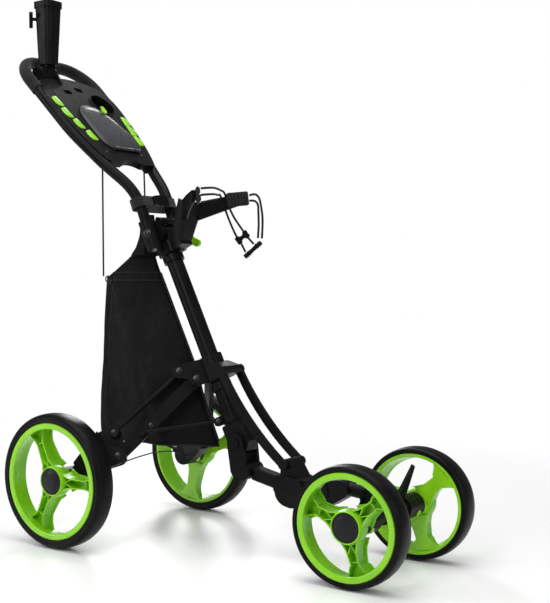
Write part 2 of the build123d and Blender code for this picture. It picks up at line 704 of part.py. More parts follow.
TUBE_DEPTH = 15.5  # the loop's centre line lies this deep below the console's face
half_route = [at(46, 122, 655), at(54, 166, 782), on_console(86, 6, -TUBE_DEPTH),
              on_console(113, 108, -TUBE_DEPTH),
              on_console(LOOP_HALF, 368, -TUBE_DEPTH)]
mirrored = [Vector(-p.X, p.Y, p.Z) for p in reversed(half_route)]
loop_route = half_route + mirrored
LOOP_CORNER = 75.0
radii = [160, 110, 300, LOOP_CORNER]
loop_radii = radii + radii[::-1]
handle_tube = bent_tube(loop_route, loop_radii, HANDLE_D, HANDLE_D - 4)
save(handle_tube, "handle_tube")

grip_from = half_route[-1] + (half_route[-2] - half_route[-1]).normalized() * 112
grip_route = [grip_from, half_route[-1], mirrored[0], Vector(-grip_from.X, grip_from.Y, grip_from.Z)]
save(bent_tube(grip_route, [LOOP_CORNER] * 2, GRIP_D, HANDLE_D + 0.04), "handle_grip")

with BuildPart() as hinge_head:
    for side in SIDES.values():
        with BuildSketch(Plane(origin=HINGE + Vector(side * (INNER_HALF + 0.5), 0, 0), x_dir=(0, side, 0), z_dir=(side, 0, 0))):
            Circle(DRUM_R)
            with Locations(Rotation(0, 0, 90 - 18 if side < 0 else 90 + 18) * Pos(26, 0)):
                Rectangle(20, 18)
        extrude(amount=OUTER_HALF - INNER_HALF)
        low = at(side * 45.6, 120, 651)
        high = at(side * 49.6, 145, 716)
        with BuildSketch(Plane(origin=low, z_dir=high - low)):
            Circle(16.5)
        extrude(amount=(high - low).length)
    with BuildSketch(Plane(origin=HINGE - Vector(OUTER_HALF, 0, 0), x_dir=(0, 1, 0), z_dir=(1, 0, 0))):
        with Locations(Rotation(0, 0, 108) * Pos(31, 0)):
            RectangleRounded(13, 20, 4)
    extrude(amount=2 * OUTER_HALF)
    with BuildSketch(Plane(origin=HINGE - Vector(OUTER_HALF, 0, 0), z_dir=(1, 0, 0))):
        Circle(PIVOT_R)
    extrude(amount=2 * OUTER_HALF)
    for side in (-1, 1):
        with BuildLine() as half_line:
            FilletPolyline(*[Vector(side * p.X, p.Y, p.Z) for p in half_route[:3]], radius=[radii[0]])
        with BuildSketch(Plane(origin=half_line.line @ 0, z_dir=half_line.line % 0)):
            Circle(HANDLE_D / 2 + 0.02)
        sweep(path=half_line.line, mode=Mode.SUBTRACT)
    LEVER_FACE = 66.0
    with BuildSketch(Plane(origin=HINGE + Vector(LEVER_FACE - 4, 0, 0), z_dir=(1, 0, 0))):
        Circle(5)
    extrude(amount=11.5)
save(hinge_head, "hinge_head")

# green cam lever on the end of the hinge pin
with BuildPart() as hinge_lever:
    with BuildSketch(Plane(origin=HINGE + Vector(LEVER_FACE, 0, 0), x_dir=(0, 1, 0), z_dir=(1, 0, 0))):
        Circle(11)
        with Locations(Rotation(0, 0, 205) * Pos(30, 0)):
            RectangleRounded(48, 17, 8)
    extrude(amount=7)
    with BuildSketch(Plane(origin=HINGE + Vector(LEVER_FACE - 1, 0, 0), z_dir=(1, 0, 0))):
        Circle(5 + RUN_FIT)
    extrude(amount=12, mode=Mode.SUBTRACT)
save(hinge_lever, "hinge_lever")

# ---------------------------------------------------------------- console
CUP_AT, CUP_R, CUP_WALL, CUP_DEPTH = (64.0, 216.0), 33.5, 2.5, 46.0
INSERTS = [(-75, 84), (-90, 122), (-102, 159), (-105, 199), (97, 86), (101, 122), (106, 158)]
INSERT_T = 3.0
LID_OUTLINE = ((-34, 42), (64, 42), (82, 62), (84, 92), (50, 168), (22, 192), (-28, 196), (-54, 168), (-54, 74))
LID_T = 3.0
LID_HINGE, LID_PIN = 42.0, 4.4  # along the console and above its face, where the lid's pin lies
LATCH_AT = (40.0, 182.0)
TILT_AT = (448.0, 1076.0)  # Y, Z of the umbrella holder's tilt pin
SOCKET_X = -58.0
EAR_X = (-43.0, -35.0)


def insert_shape(x, y):
    """D-shaped insert lying along the console's edge."""
    with BuildSketch() as shape:
        with Locations(Location((x, y, 0), (0, 0, 80 if x > 0 else 100))):
            RectangleRounded(33, 19, 8)
    return shape.sketch


with BuildPart() as console:
    with BuildSketch(console_plane(-CONSOLE_T)):
        with BuildLine():
            right_edge = Spline((-84, 2), (-99, 42), (-113, 104), (-122, 180), (-118, 250), (-96, 284))
            top_edge = ThreePointArc((-96, 284), (0, 300), (96, 284))
            left_edge = Spline((96, 284), (118, 250), (122, 180), (113, 104), (99, 42), (84, 2))
            Polyline((84, 2), (74, -4), (34, -4))
            ThreePointArc((34, -4), (0, 7), (-34, -4))
            Polyline((-34, -4), (-74, -4), (-84, 2))
        make_face()
    extrude(amount=CONSOLE_T)
    with BuildSketch(console_plane(-CUP_DEPTH)):
        with Locations(CUP_AT):
            Circle(CUP_R + CUP_WALL)
    extrude(amount=CUP_DEPTH + 2)
    with BuildSketch(console_plane(-CUP_DEPTH + 3)):
        with Locations(CUP_AT):
            Circle(CUP_R)
    extrude(amount=CUP_DEPTH + 4, mode=Mode.SUBTRACT)
    with BuildSketch(console_plane(-CONSOLE_T + 3)):
        Polygon((-48, 54), (62, 54), (74, 66), (76, 88), (44, 160), (18, 184), (-24, 188), (-46, 162),
                align=None)
    extrude(amount=CONSOLE_T, mode=Mode.SUBTRACT)
    with BuildSketch(console_plane(-CONSOLE_T - 1)):
        with Locations(Location((-34, 246, 0), (0, 0, 8)), Location((14, 262, 0), (0, 0, -6))):
            SlotOverall(28, 15)
    extrude(amount=CONSOLE_T + 4, mode=Mode.SUBTRACT)
    with BuildSketch(console_plane(-INSERT_T / 2)):
        for x, y in INSERTS:
            add(insert_shape(x, y))
    extrude(amount=INSERT_T, mode=Mode.SUBTRACT)
    # hooks for the bag's elastic cords, one under each lower corner
    for side in (-1, 1):
        hook = console_plane(-CONSOLE_T - 12, side * 74, 6)
        with BuildSketch(hook):
            Circle(7)
        extrude(amount=13)
    # ear and pin that carry the umbrella holder
    with BuildSketch(side_plane(EAR_X[0])):
        with Locations(TILT_AT):
            Circle(17)
        with Locations((430, 1050)):
            Circle(14)
        make_hull()
    extrude(amount=EAR_X[1] - EAR_X[0])
    with BuildSketch(side_plane(EAR_X[0] - 0.4)):
        with Locations(TILT_AT):
            Circle(20)
    extrude(amount=-32, mode=Mode.SUBTRACT)
    with BuildSketch(side_plane(EAR_X[0] + 1)):
        with Locations(TILT_AT):
            Circle(5)
    extrude(amount=-41.5)
    # knuckle and pin for the lid
    for x in (-26, 46):
        with BuildSketch(Plane(origin=on_console(x, LID_HINGE, LID_PIN), z_dir=(1, 0, 0))):
            Circle(3.5)
        extrude(amount=10)
        with BuildSketch(console_plane(-2, x + 5, LID_HINGE)):
            Rectangle(10, 6)
        extrude(amount=2 + LID_PIN)
    with BuildSketch(Plane(origin=on_console(-17, LID_HINGE, LID_PIN), z_dir=(1, 0, 0))):
        Circle(1.5)
    extrude(amount=66)
    with BuildLine() as loop_line:
        FilletPolyline(*loop_route, radius=loop_radii)
    with BuildSketch(Plane(origin=loop_line.line @ 0, z_dir=loop_line.line % 0)):
        Circle(HANDLE_D / 2 + 0.02)
    sweep(path=loop_line.line, mode=Mode.SUBTRACT)
    with BuildLine() as grip_line:
        FilletPolyline(*grip_route, radius=[LOOP_CORNER] * 2)
    with BuildSketch(Plane(origin=grip_line.line @ 0, z_dir=grip_line.line % 0)):
        Circle(GRIP_D / 2 + 0.05)
    sweep(path=grip_line.line, mode=Mode.SUBTRACT)
save(console, "console")

with BuildPart() as console_inserts:
    with BuildSketch(console_plane(-INSERT_T / 2 + 0.01)):
        for x, y in INSERTS:
            add(offset(insert_shape(x, y), amount=-0.05, mode=Mode.PRIVATE))
    extrude(amount=INSERT_T)
    for angle in (90, 210, 330):
        with BuildSketch(console_plane(-30)):
            with Locations(Location((*CUP_AT, 0)) * Rotation(0, 0, angle) * Pos(CUP_R - 4.6, 0)):
                RectangleRounded(6, 17, 2.5)
        extrude(amount=28)
save(console_inserts, "console_inserts")

with BuildPart() as console_lid:
    with BuildSketch(console_plane(0.6)):
        Polygon(*LID_OUTLINE, align=None)
    extrude(amount=LID_T)
    with BuildSketch(Plane(origin=on_console(-15.5, LID_HINGE, LID_PIN), z_dir=(1, 0, 0))):
        Circle(3.4)
    extrude(amount=61)
    for x in (-26.5, 45.5):
        with BuildSketch(console_plane(-1, x + 5.5, LID_HINGE)):
            Rectangle(12, 9)
        extrude(amount=8, mode=Mode.SUBTRACT)
    with BuildSketch(Plane(origin=on_console(-40, LID_HINGE, LID_PIN), z_dir=(1, 0, 0))):
        Circle(1.5 + RUN_FIT)
    extrude(amount=110, mode=Mode.SUBTRACT)
    with BuildSketch(console_plane(-1, *LATCH_AT)):
        Circle(3 + RUN_FIT)
    extrude(amount=8, mode=Mode.SUBTRACT)
save(console_lid, "console_lid")

with BuildPart() as lid_latch:
    with BuildSketch(console_plane(0.6 + LID_T + 0.3, *LATCH_AT)):
        Circle(8)
        with Locations((4, 8)):
            RectangleRounded(11, 20, 4)
    extrude(amount=3)
    with BuildSketch(console_plane(0.6, *LATCH_AT)):
        Circle(3)
    extrude(amount=4)
save(lid_latch, "lid_latch")

# ---------------------------------------------------------------- umbrella holder
SOCKET_FROM, SOCKET_TO = 1097.0, 1245.0
SOCKET_BORE_R = 20.0
with BuildPart() as umbrella_socket:
    with BuildSketch(Plane(origin=at(SOCKET_X, 440, SOCKET_FROM))):
        RectangleRounded(40, 40, 12)
    with BuildSketch(Plane(origin=at(SOCKET_X, 440, SOCKET_TO - 14))):
        RectangleRounded(51, 51, 14)
    loft()
    with BuildSketch(Plane(origin=at(SOCKET_X, 440, SOCKET_TO - 14))):
        RectangleRounded(56, 56, 15)
    extrude(amount=14)
    with BuildSketch(side_plane(SOCKET_X - 14)):
        with Locations(TILT_AT):
            Circle(18)
        with Locations((446, 1098)):
            Circle(14)
        make_hull()
    extrude(amount=28)
    with BuildSketch(Plane(origin=at(SOCKET_X, 440, SOCKET_TO - 110))):
        Circle(SOCKET_BORE_R)
    extrude(amount=120, mode=Mode.SUBTRACT)
    with BuildSketch(side_plane(SOCKET_X - 20)):
        with Locations(TILT_AT):
            Circle(5 + RUN_FIT)
    extrude(amount=40, mode=Mode.SUBTRACT)
    screw_way = Vector(-0.7071, 0.7071, 0)
    with BuildSketch(Plane(origin=at(SOCKET_X, 440, 1205), z_dir=screw_way)):
        Circle(4 + RUN_FIT)
    extrude(amount=60, mode=Mode.SUBTRACT)
save(umbrella_socket, "umbrella_socket")

KNOB_FACE = SOCKET_X - 14.6
with BuildPart() as tilt_knob:
    with BuildSketch(side_plane(KNOB_FACE)):
        with Locations(TILT_AT):
            Circle(19)
            with PolarLocations(20.5, 6):
                Circle(4, mode=Mode.SUBTRACT)
    extrude(amount=-14)
    with BuildSketch(side_plane(KNOB_FACE + 1)):
        with Locations(TILT_AT):
            Circle(5 + RUN_FIT)
    extrude(amount=-13.5, mode=Mode.SUBTRACT)
save(tilt_knob, "tilt_knob")

with BuildPart() as wing_screw:
    with BuildSketch(Plane(origin=at(SOCKET_X, 440, 1205) + screw_way * 23, x_dir=(0, 0, 1), z_dir=screw_way)):
        Circle(4)
    extrude(amount=20)
    with BuildSketch(Plane(origin=at(SOCKET_X, 440, 1205) + screw_way * 36, x_dir=(0, 0, 1), z_dir=screw_way)):
        Circle(8)
        for angle in (55, 180, 305):
            with Locations(Rotation(0, 0, angle) * Pos(11, 0)):
                RectangleRounded(20, 9, 4)
    extrude(amount=9)
save(wing_screw, "wing_screw")

# ---------------------------------------------------------------- bag, its strap and cords
BAG_HALF = 75.0
BAG_FRONT = -48.0  # the bag's front fold, behind the post's axis
with BuildPart() as storage_bag:
    with BuildSketch(side_plane(-BAG_HALF)):
        Polygon((-40, 222), (150, 619), (168, 650), (172, 735), (184, 737), (182, 655), (198, 626), (240, 580),
                (268, 219), (90, 212), align=None)
    extrude(amount=2 * BAG_HALF)
    for side in (-1, 1):
        # keep what lies inside the V that opens toward the handle
        slope = Vector(side * 0.83, 0, 0) - AHEAD
        wall = UP.cross(slope).normalized()
        if wall.X * side < 0:
            wall = wall * -1
        split(bisect_by=Plane(origin=on_post(0, BAG_FRONT - 12), z_dir=wall), keep=Keep.BOTTOM)
save(storage_bag, "storage_bag")

STRAP_AT = (157.0, 757.0)
with BuildPart() as handle_strap:
    with BuildSketch(Plane(origin=at(0, STRAP_AT[0], STRAP_AT[1] - 12), x_dir=(1, 0, 0), z_dir=(0, 0.36, 0.93))):
        RectangleRounded(140, 42, 19)
        RectangleRounded(136, 38, 17, mode=Mode.SUBTRACT)
    extrude(amount=24)
    with BuildSketch(Plane(origin=at(0, STRAP_AT[0] - 20, STRAP_AT[1] - 13), x_dir=(1, 0, 0), z_dir=(0, 0.36, 0.93))):
        RectangleRounded(52, 9, 3)
    extrude(amount=28)
save(handle_strap, "handle_strap")

BAG_CORD_D = 4.0
with BuildPart() as bag_cords:
    for side in (-1, 1):
        top = on_console(side * 74, 6, -CONSOLE_T - 14.5)
        low = at(side * 78.5, 246, 592)
        with BuildSketch(Plane(origin=top, z_dir=low - top)):
            Circle(BAG_CORD_D / 2)
        extrude(amount=(low - top).length)
save(bag_cords, "bag_cords")

# ---------------------------------------------------------------- brake
with BuildPart() as brake_pedal:
    with BuildSketch(side_plane(PEDAL_X[0])):
        with Locations(PEDAL_PIN):
            Circle(5.5)
        with Locations(Location((PEDAL_PIN[0], PEDAL_PIN[1], 0), (0, 0, 14))):
            with Locations((26, 1)):
                RectangleRounded(48, 6, 2.5)
    extrude(amount=PEDAL_X[1] - PEDAL_X[0])
    with BuildSketch(side_plane(PEDAL_X[0] - 1)):
        with Locations(PEDAL_PIN):
            Circle(2.5 + RUN_FIT)
    extrude(amount=PEDAL_X[1] - PEDAL_X[0] + 2, mode=Mode.SUBTRACT)
save(brake_pedal, "brake_pedal")

CABLE_D = 3.0
CABLE_END = WHEELS["rear_left"][1].X + BARREL_IN - HOUSING_GAP - 58.5
cable_route = [at(-CABLE_END, 208, 148), at(-152, 196, 152), at(-112, 178, 166), at(-62, 164, 178), at(-6, 158, 183),
               at(50, 162, 180), at(100, 174, 170), at(146, 194, 154), at(CABLE_END, 208, 148)]
cable_radii = corner_radii(cable_route)
print("brake cable radii", [round(r) for r in cable_radii],
      "length", round(FilletPolyline(*cable_route, radius=cable_radii).length, 1))
save(bent_tube(cable_route, cable_radii, CABLE_D), "brake_cable")

# ---------------------------------------------------------------- bungee that ties the golf bag on
BUNGEE_D = 5.0
DIVIDER_AT = at(90, -24.8, 679.9)
DIVIDER_ACROSS = Vector(0.483, -0.606, 0.636)
DIVIDER_DOWN = Vector(0.365, -0.465, -0.806)
TOGGLE_AT = at(100.9, -46.5, 652)
TOGGLE_ALONG = Vector(0.46, -0.575, 0.676)
STRAND_GAP = 10.0  # each strand's distance from the middle of the divider


def through_divider(side):
    """Where a strand goes in at the top of the divider, and where it comes out."""
    middle = DIVIDER_AT + DIVIDER_ACROSS * (side * STRAND_GAP)
    return middle - DIVIDER_DOWN * 12, middle + DIVIDER_DOWN * 12


# two strands per pad: those of the right pad hang over the left arm, go through the divider and end on the toggle
BUNGEE = {
    "right": [
        [at(-85, -39.5, 765), at(-70, -51.5, 767), at(-38, -44, 769), at(8, -17, 770), at(66, 20, 779), at(80, 11, 731),
         *through_divider(-1), at(91.4, -32.5, 647)],
        [at(-85, -39.5, 779), at(-70, -52.5, 781), at(-38, -45.5, 782), at(12, -21.5, 781), at(73, 12, 782), at(85.6, 4.1, 735.4),
         *through_divider(1), at(103.3, -47.2, 664.9)]],
    "left": [
        [at(96, -39.5, 774), at(111, -53.2, 783.5), at(112.2, -64, 736), at(112.8, -65, 707), at(111.5, -63.5, 677)],
        [at(96, -39.5, 762), at(109.8, -53.8, 765.5), at(107.2, -57, 728), at(107.9, -57.6, 703), at(107, -55.8, 678)]],
}
for name, routes in BUNGEE.items():
    strands = []
    for route in routes:
        radii = corner_radii(route, first=0.85)
        print("bungee", name, "radii", [round(r, 1) for r in radii],
              "length", round(FilletPolyline(*route, radius=radii).length, 1))
        strands.append(bent_tube(route, radii, BUNGEE_D))
    with BuildPart() as pair:
        for strand in strands:
            add(strand)
    save(pair, f"bungee_cord_{name}")

with BuildPart() as bungee_slider:
    divider = Plane(origin=DIVIDER_AT - DIVIDER_DOWN * 8, x_dir=DIVIDER_ACROSS, z_dir=DIVIDER_DOWN)
    with BuildSketch(divider):
        with Locations((-STRAND_GAP, 0), (STRAND_GAP, 0)):
            Circle(5.2)
        Rectangle(2 * STRAND_GAP - 6, 5)
        with Locations((-STRAND_GAP, 0), (STRAND_GAP, 0)):
            Circle(BUNGEE_D / 2 + 0.8, mode=Mode.SUBTRACT)
    extrude(amount=16)
save(bungee_slider, "bungee_slider")

TOGGLE_LENGTH = 50.0
TOGGLE_R = 5.6
with BuildPart() as bungee_hook:
    with BuildSketch(Plane(origin=TOGGLE_AT - TOGGLE_ALONG * (TOGGLE_LENGTH / 2), z_dir=TOGGLE_ALONG)):
        Circle(TOGGLE_R)
    extrude(amount=TOGGLE_LENGTH)
    fillet(bungee_hook.edges().filter_by(GeomType.CIRCLE), 1.8)
save(bungee_hook, "bungee_hook")
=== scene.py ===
"""Looks for the folding golf push cart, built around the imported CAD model. Metres, +Z up, small wheels toward -Y."""
import json
import math
import random

import bmesh
import bpy
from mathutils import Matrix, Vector, noise

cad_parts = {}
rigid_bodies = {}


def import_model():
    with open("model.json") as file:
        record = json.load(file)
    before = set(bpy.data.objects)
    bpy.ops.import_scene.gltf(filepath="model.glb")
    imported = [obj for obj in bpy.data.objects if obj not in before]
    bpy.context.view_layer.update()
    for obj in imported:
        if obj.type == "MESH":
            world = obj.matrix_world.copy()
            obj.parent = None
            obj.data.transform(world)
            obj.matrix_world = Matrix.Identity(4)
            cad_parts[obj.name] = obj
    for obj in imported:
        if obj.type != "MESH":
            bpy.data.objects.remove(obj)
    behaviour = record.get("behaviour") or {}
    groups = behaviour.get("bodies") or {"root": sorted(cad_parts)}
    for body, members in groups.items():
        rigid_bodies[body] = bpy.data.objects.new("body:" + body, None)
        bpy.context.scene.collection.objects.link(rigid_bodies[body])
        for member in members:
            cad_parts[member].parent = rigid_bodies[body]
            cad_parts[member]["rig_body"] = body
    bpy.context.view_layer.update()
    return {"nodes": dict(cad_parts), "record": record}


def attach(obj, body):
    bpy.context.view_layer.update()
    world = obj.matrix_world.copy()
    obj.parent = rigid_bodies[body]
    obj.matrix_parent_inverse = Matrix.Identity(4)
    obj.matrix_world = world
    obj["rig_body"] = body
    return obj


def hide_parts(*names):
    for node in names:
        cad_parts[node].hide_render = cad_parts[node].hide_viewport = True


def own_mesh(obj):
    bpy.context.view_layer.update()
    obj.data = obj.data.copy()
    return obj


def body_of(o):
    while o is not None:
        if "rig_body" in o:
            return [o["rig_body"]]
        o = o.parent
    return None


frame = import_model()
NODES = frame["nodes"]
random.seed(7)

# ---------------------------------------------------------------- camera
SHIFT_Y = 0.0245  # the part's own frame against the one that the dimensions below are noted in


def at(x, y, z):
    """A cart position noted in millimetres, in the row frame in metres."""
    return Vector((x / 1000, y / 1000 + SHIFT_Y, z / 1000))


def make_camera():
    azimuth, rise, distance = math.radians(-51.5), math.radians(3.225), 2.542
    target = at(0, 100, 450)
    back = Vector((math.sin(azimuth) * math.cos(rise), -math.cos(azimuth) * math.cos(rise), math.sin(rise)))
    data = bpy.data.cameras.new("camera")
    data.sensor_fit = "VERTICAL"
    data.sensor_height = 36
    data.lens = 66.5
    data.shift_x, data.shift_y = 0.1668, 0.0615
    data.clip_start, data.clip_end = 0.05, 60
    camera = bpy.data.objects.new("camera", data)
    camera.location = target + back * distance
    camera.rotation_euler = back.to_track_quat("Z", "Y").to_euler()
    bpy.context.collection.objects.link(camera)
    bpy.context.scene.camera = camera


make_camera()

# ---------------------------------------------------------------- floor and light


def make_floor():
    mesh = bpy.data.meshes.new("floor")
    size = 14
    mesh.from_pydata([(-size, -size, -0.0006), (size, -size, -0.0006), (size, size, -0.0006), (-size, size, -0.0006)],
                     [], [(0, 1, 2, 3)])
    floor = bpy.data.objects.new("floor", mesh)
    bpy.context.collection.objects.link(floor)
    material = bpy.data.materials.new("floor")
    material.use_nodes = True
    tree = material.node_tree
    shader = tree.nodes["Principled BSDF"]
    shader.inputs["Base Color"].default_value = (0.93, 0.93, 0.93, 1)
    shader.inputs["Roughness"].default_value = 0.35
    shader.inputs["Specular IOR Level"].default_value = 0.35
    # the floor fades into the white background away from the cart
    coords = tree.nodes.new("ShaderNodeTexCoord")
    length = tree.nodes.new("ShaderNodeVectorMath")
    length.operation = "LENGTH"
    fade = tree.nodes.new("ShaderNodeMapRange")
    fade.inputs["From Min"].default_value, fade.inputs["From Max"].default_value = 0.75, 1.7
    white = tree.nodes.new("ShaderNodeEmission")
    white.inputs["Color"].default_value = (1, 1, 1, 1)
    mix = tree.nodes.new("ShaderNodeMixShader")
    tree.links.new(coords.outputs["Object"], length.inputs[0])
    tree.links.new(length.outputs["Value"], fade.inputs["Value"])
    seen = tree.nodes.new("ShaderNodeLightPath")
    share = tree.nodes.new("ShaderNodeMath")
    share.operation = "MULTIPLY"
    tree.links.new(fade.outputs["Result"], share.inputs[0])
    tree.links.new(seen.outputs["Is Camera Ray"], share.inputs[1])
    tree.links.new(share.outputs["Value"], mix.inputs["Fac"])
    tree.links.new(shader.outputs["BSDF"], mix.inputs[1])
    tree.links.new(white.outputs["Emission"], mix.inputs[2])
    tree.links.new(mix.outputs["Shader"], tree.nodes["Material Output"].inputs["Surface"])
    mesh.materials.append(material)


def area_light(name, place, aim, size, energy, tint=(1, 1, 1)):
    data = bpy.data.lights.new(name, "AREA")
    data.shape = "RECTANGLE"
    data.size, data.size_y = size
    data.energy = energy
    data.color = tint
    lamp = bpy.data.objects.new(name, data)
    lamp.location = place
    lamp.rotation_euler = (Vector(place) - Vector(aim)).to_track_quat("Z", "Y").to_euler()
    bpy.context.collection.objects.link(lamp)


make_floor()
area_light("top", (-0.3, 0.0, 3.4), (0, 0.1, 0), (3.2, 3.2), 105)
area_light("key", (-2.8, -0.6, 2.2), (0, 0.1, 0.5), (0.7, 1.8), 34)
area_light("front_fill", (-0.4, -3.2, 1.4), (0, 0, 0.5), (1.4, 1.4), 16)
area_light("rear_rim", (2.4, 2.0, 2.0), (0, 0.1, 0.6), (0.8, 2.0), 45)
area_light("left_rim", (-2.4, 2.6, 1.4), (0, 0.2, 0.6), (0.6, 2.0), 30)
bpy.context.scene.view_settings.view_transform = "Standard"
world = bpy.data.worlds.new("world")
bpy.context.scene.world = world
world.use_nodes = True
sky = world.node_tree
sky.nodes["Background"].inputs["Color"].default_value = (1, 1, 1, 1)
seen = sky.nodes.new("ShaderNodeLightPath")
strength = sky.nodes.new("ShaderNodeMapRange")  # the background is white, but lights the cart only softly
strength.inputs["To Min"].default_value, strength.inputs["To Max"].default_value = 0.22, 1.0
sky.links.new(seen.outputs["Is Camera Ray"], strength.inputs["Value"])
sky.links.new(strength.outputs["Result"], sky.nodes["Background"].inputs["Strength"])

# ---------------------------------------------------------------- materials


class Look:
    """A small builder of procedural materials, all in object coordinates."""

    def __init__(self, name, color, roughness, metallic=0.0, coat=0.0, coat_roughness=0.2, sheen=0.0):
        self.material = bpy.data.materials.new(name)
        self.material.use_nodes = True
        self.tree = self.material.node_tree
        self.shader = self.tree.nodes["Principled BSDF"]
        self.set("Base Color", (*color, 1))
        self.set("Roughness", roughness)
        self.set("Metallic", metallic)
        self.set("Specular IOR Level", 0.09 if max(color) < 0.1 else 0.42)
        if coat:
            self.set("Coat Weight", coat)
            self.set("Coat Roughness", coat_roughness)
        if sheen:
            self.set("Sheen Weight", sheen)
            self.set("Sheen Roughness", 0.4)
        self.coords = self.node("ShaderNodeTexCoord").outputs["Object"]
        self.height = None
        self.normal = None

    def node(self, kind, **values):
        made = self.tree.nodes.new(kind)
        for key, value in values.items():
            if key in made.inputs:
                made.inputs[key].default_value = value
            else:
                setattr(made, key, value)
        return made

    def set(self, socket, value):
        self.shader.inputs[socket].default_value = value

    def link(self, a, b):
        self.tree.links.new(a, b)

    def noise(self, scale, detail=3.0, rough=0.55, coords=None):
        made = self.node("ShaderNodeTexNoise", Scale=scale, Detail=detail, Roughness=rough)
        self.link(coords or self.coords, made.inputs["Vector"])
        return made.outputs["Fac"]

    def ramp(self, value, low, high, at_low=0.0, at_high=1.0):
        made = self.node("ShaderNodeMapRange")
        self.link(value, made.inputs["Value"])
        made.inputs["From Min"].default_value, made.inputs["From Max"].default_value = low, high
        made.inputs["To Min"].default_value, made.inputs["To Max"].default_value = at_low, at_high
        return made.outputs["Result"]

    def tint(self, value, dark, light):
        mix = self.node("ShaderNodeMix", data_type="RGBA")
        for socket in mix.inputs:
            if socket.name == "Factor" and socket.type == "VALUE":
                self.link(value, socket)
                break
        for socket in mix.inputs:
            if socket.type == "RGBA":
                socket.default_value = (*dark, 1) if socket.name == "A" else (*light, 1)
        out = [s for s in mix.outputs if s.type == "RGBA"][0]
        self.link(out, self.shader.inputs["Base Color"])
        return out

    def rough(self, value, low, high):
        self.link(self.ramp(value, 0.3, 0.7, low, high), self.shader.inputs["Roughness"])

    def bump(self, value, strength, distance):
        made = self.node("ShaderNodeBump", Strength=strength, Distance=distance)
        self.link(value, made.inputs["Height"])
        if self.normal is not None:
            self.link(self.normal, made.inputs["Normal"])
        self.normal = made.outputs["Normal"]
        self.link(self.normal, self.shader.inputs["Normal"])


def powder_coat():
    look = Look("frame_paint", (0.009, 0.0092, 0.01), 0.34)
    broad = look.noise(9, 3)
    fine = look.noise(1400, 2)
    look.tint(look.ramp(broad, 0.35, 0.7), (0.003, 0.0031, 0.0035), (0.0065, 0.0067, 0.0074))
    look.rough(broad, 0.3, 0.44)
    look.bump(fine, 0.12, 0.0002)
    return look.material


def moulded(name, dark, light, rough_low, rough_high, grain=900, strength=0.2):
    look = Look(name, light, (rough_low + rough_high) / 2)
    broad = look.noise(14, 4)
    look.tint(look.ramp(broad, 0.35, 0.68), dark, light)
    look.rough(look.noise(60, 3), rough_low, rough_high)
    look.bump(look.noise(grain, 2), strength, 0.00025)
    return look.material


def green():
    look = Look("lime_plastic", (0.24, 0.6, 0.008), 0.32, coat=0.15, coat_roughness=0.15)
    broad = look.noise(11, 3)
    look.tint(look.ramp(broad, 0.3, 0.7), (0.2, 0.54, 0.006), (0.27, 0.65, 0.01))
    look.rough(look.noise(70, 3), 0.24, 0.36)
    look.bump(look.noise(700, 2), 0.05, 0.0002)
    return look.material


def tyre_rubber():
    look = Look("tyre_rubber", (0.008, 0.008, 0.0086), 0.36)
    broad = look.noise(16, 4)
    look.tint(look.ramp(broad, 0.35, 0.7), (0.003, 0.003, 0.0032), (0.007, 0.007, 0.0074))
    look.rough(look.noise(40, 4), 0.3, 0.42)
    look.bump(look.noise(500, 3), 0.12, 0.0003)
    return look.material


def foam():
    look = Look("grip_foam", (0.012, 0.012, 0.013), 0.75, sheen=0.15)
    cells = look.node("ShaderNodeTexVoronoi", Scale=900.0)
    look.link(look.coords, cells.inputs["Vector"])
    look.tint(look.ramp(look.noise(30), 0.3, 0.7), (0.008, 0.008, 0.009), (0.018, 0.018, 0.019))
    look.bump(cells.outputs["Distance"], 0.35, 0.0004)
    return look.material


def steel(name="steel", color=(0.55, 0.56, 0.58), rough=0.28):
    look = Look(name, color, rough, metallic=1.0)
    look.rough(look.noise(120, 3), rough - 0.06, rough + 0.08)
    look.bump(look.noise(800, 2), 0.08, 0.0001)
    return look.material


def woven(name, dark, light, pitch, rough=0.7, sheen=0.25, strength=0.5):
    """Plain weave: two crossed waves over a fine mottling."""
    look = Look(name, light, rough, sheen=sheen)
    waves = []
    for direction in ("X", "Z"):
        wave = look.node("ShaderNodeTexWave", wave_type="BANDS", bands_direction=direction)
        wave.inputs["Scale"].default_value = pitch
        wave.inputs["Distortion"].default_value = 0.6
        wave.inputs["Detail"].default_value = 1.0
        look.link(look.coords, wave.inputs["Vector"])
        waves.append(wave.outputs["Fac"])
    product = look.node("ShaderNodeMath", operation="MULTIPLY")
    look.link(waves[0], product.inputs[0])
    look.link(waves[1], product.inputs[1])
    look.tint(look.ramp(look.noise(7, 5), 0.3, 0.7), dark, light)
    look.rough(look.noise(25, 4), rough - 0.1, rough + 0.08)
    look.bump(product.outputs[0], strength, 0.0004)
    look.bump(look.noise(90, 5), 0.25, 0.0012)
    return look.material


def smoke():
    look = Look("smoke_lid", (0.07, 0.072, 0.075), 0.3, coat=0.2)
    look.tint(look.ramp(look.noise(20, 4), 0.3, 0.7), (0.03, 0.031, 0.033), (0.048, 0.05, 0.052))
    look.rough(look.noise(70, 3), 0.25, 0.38)
    look.bump(look.noise(900, 2), 0.12, 0.0002)
    return look.material


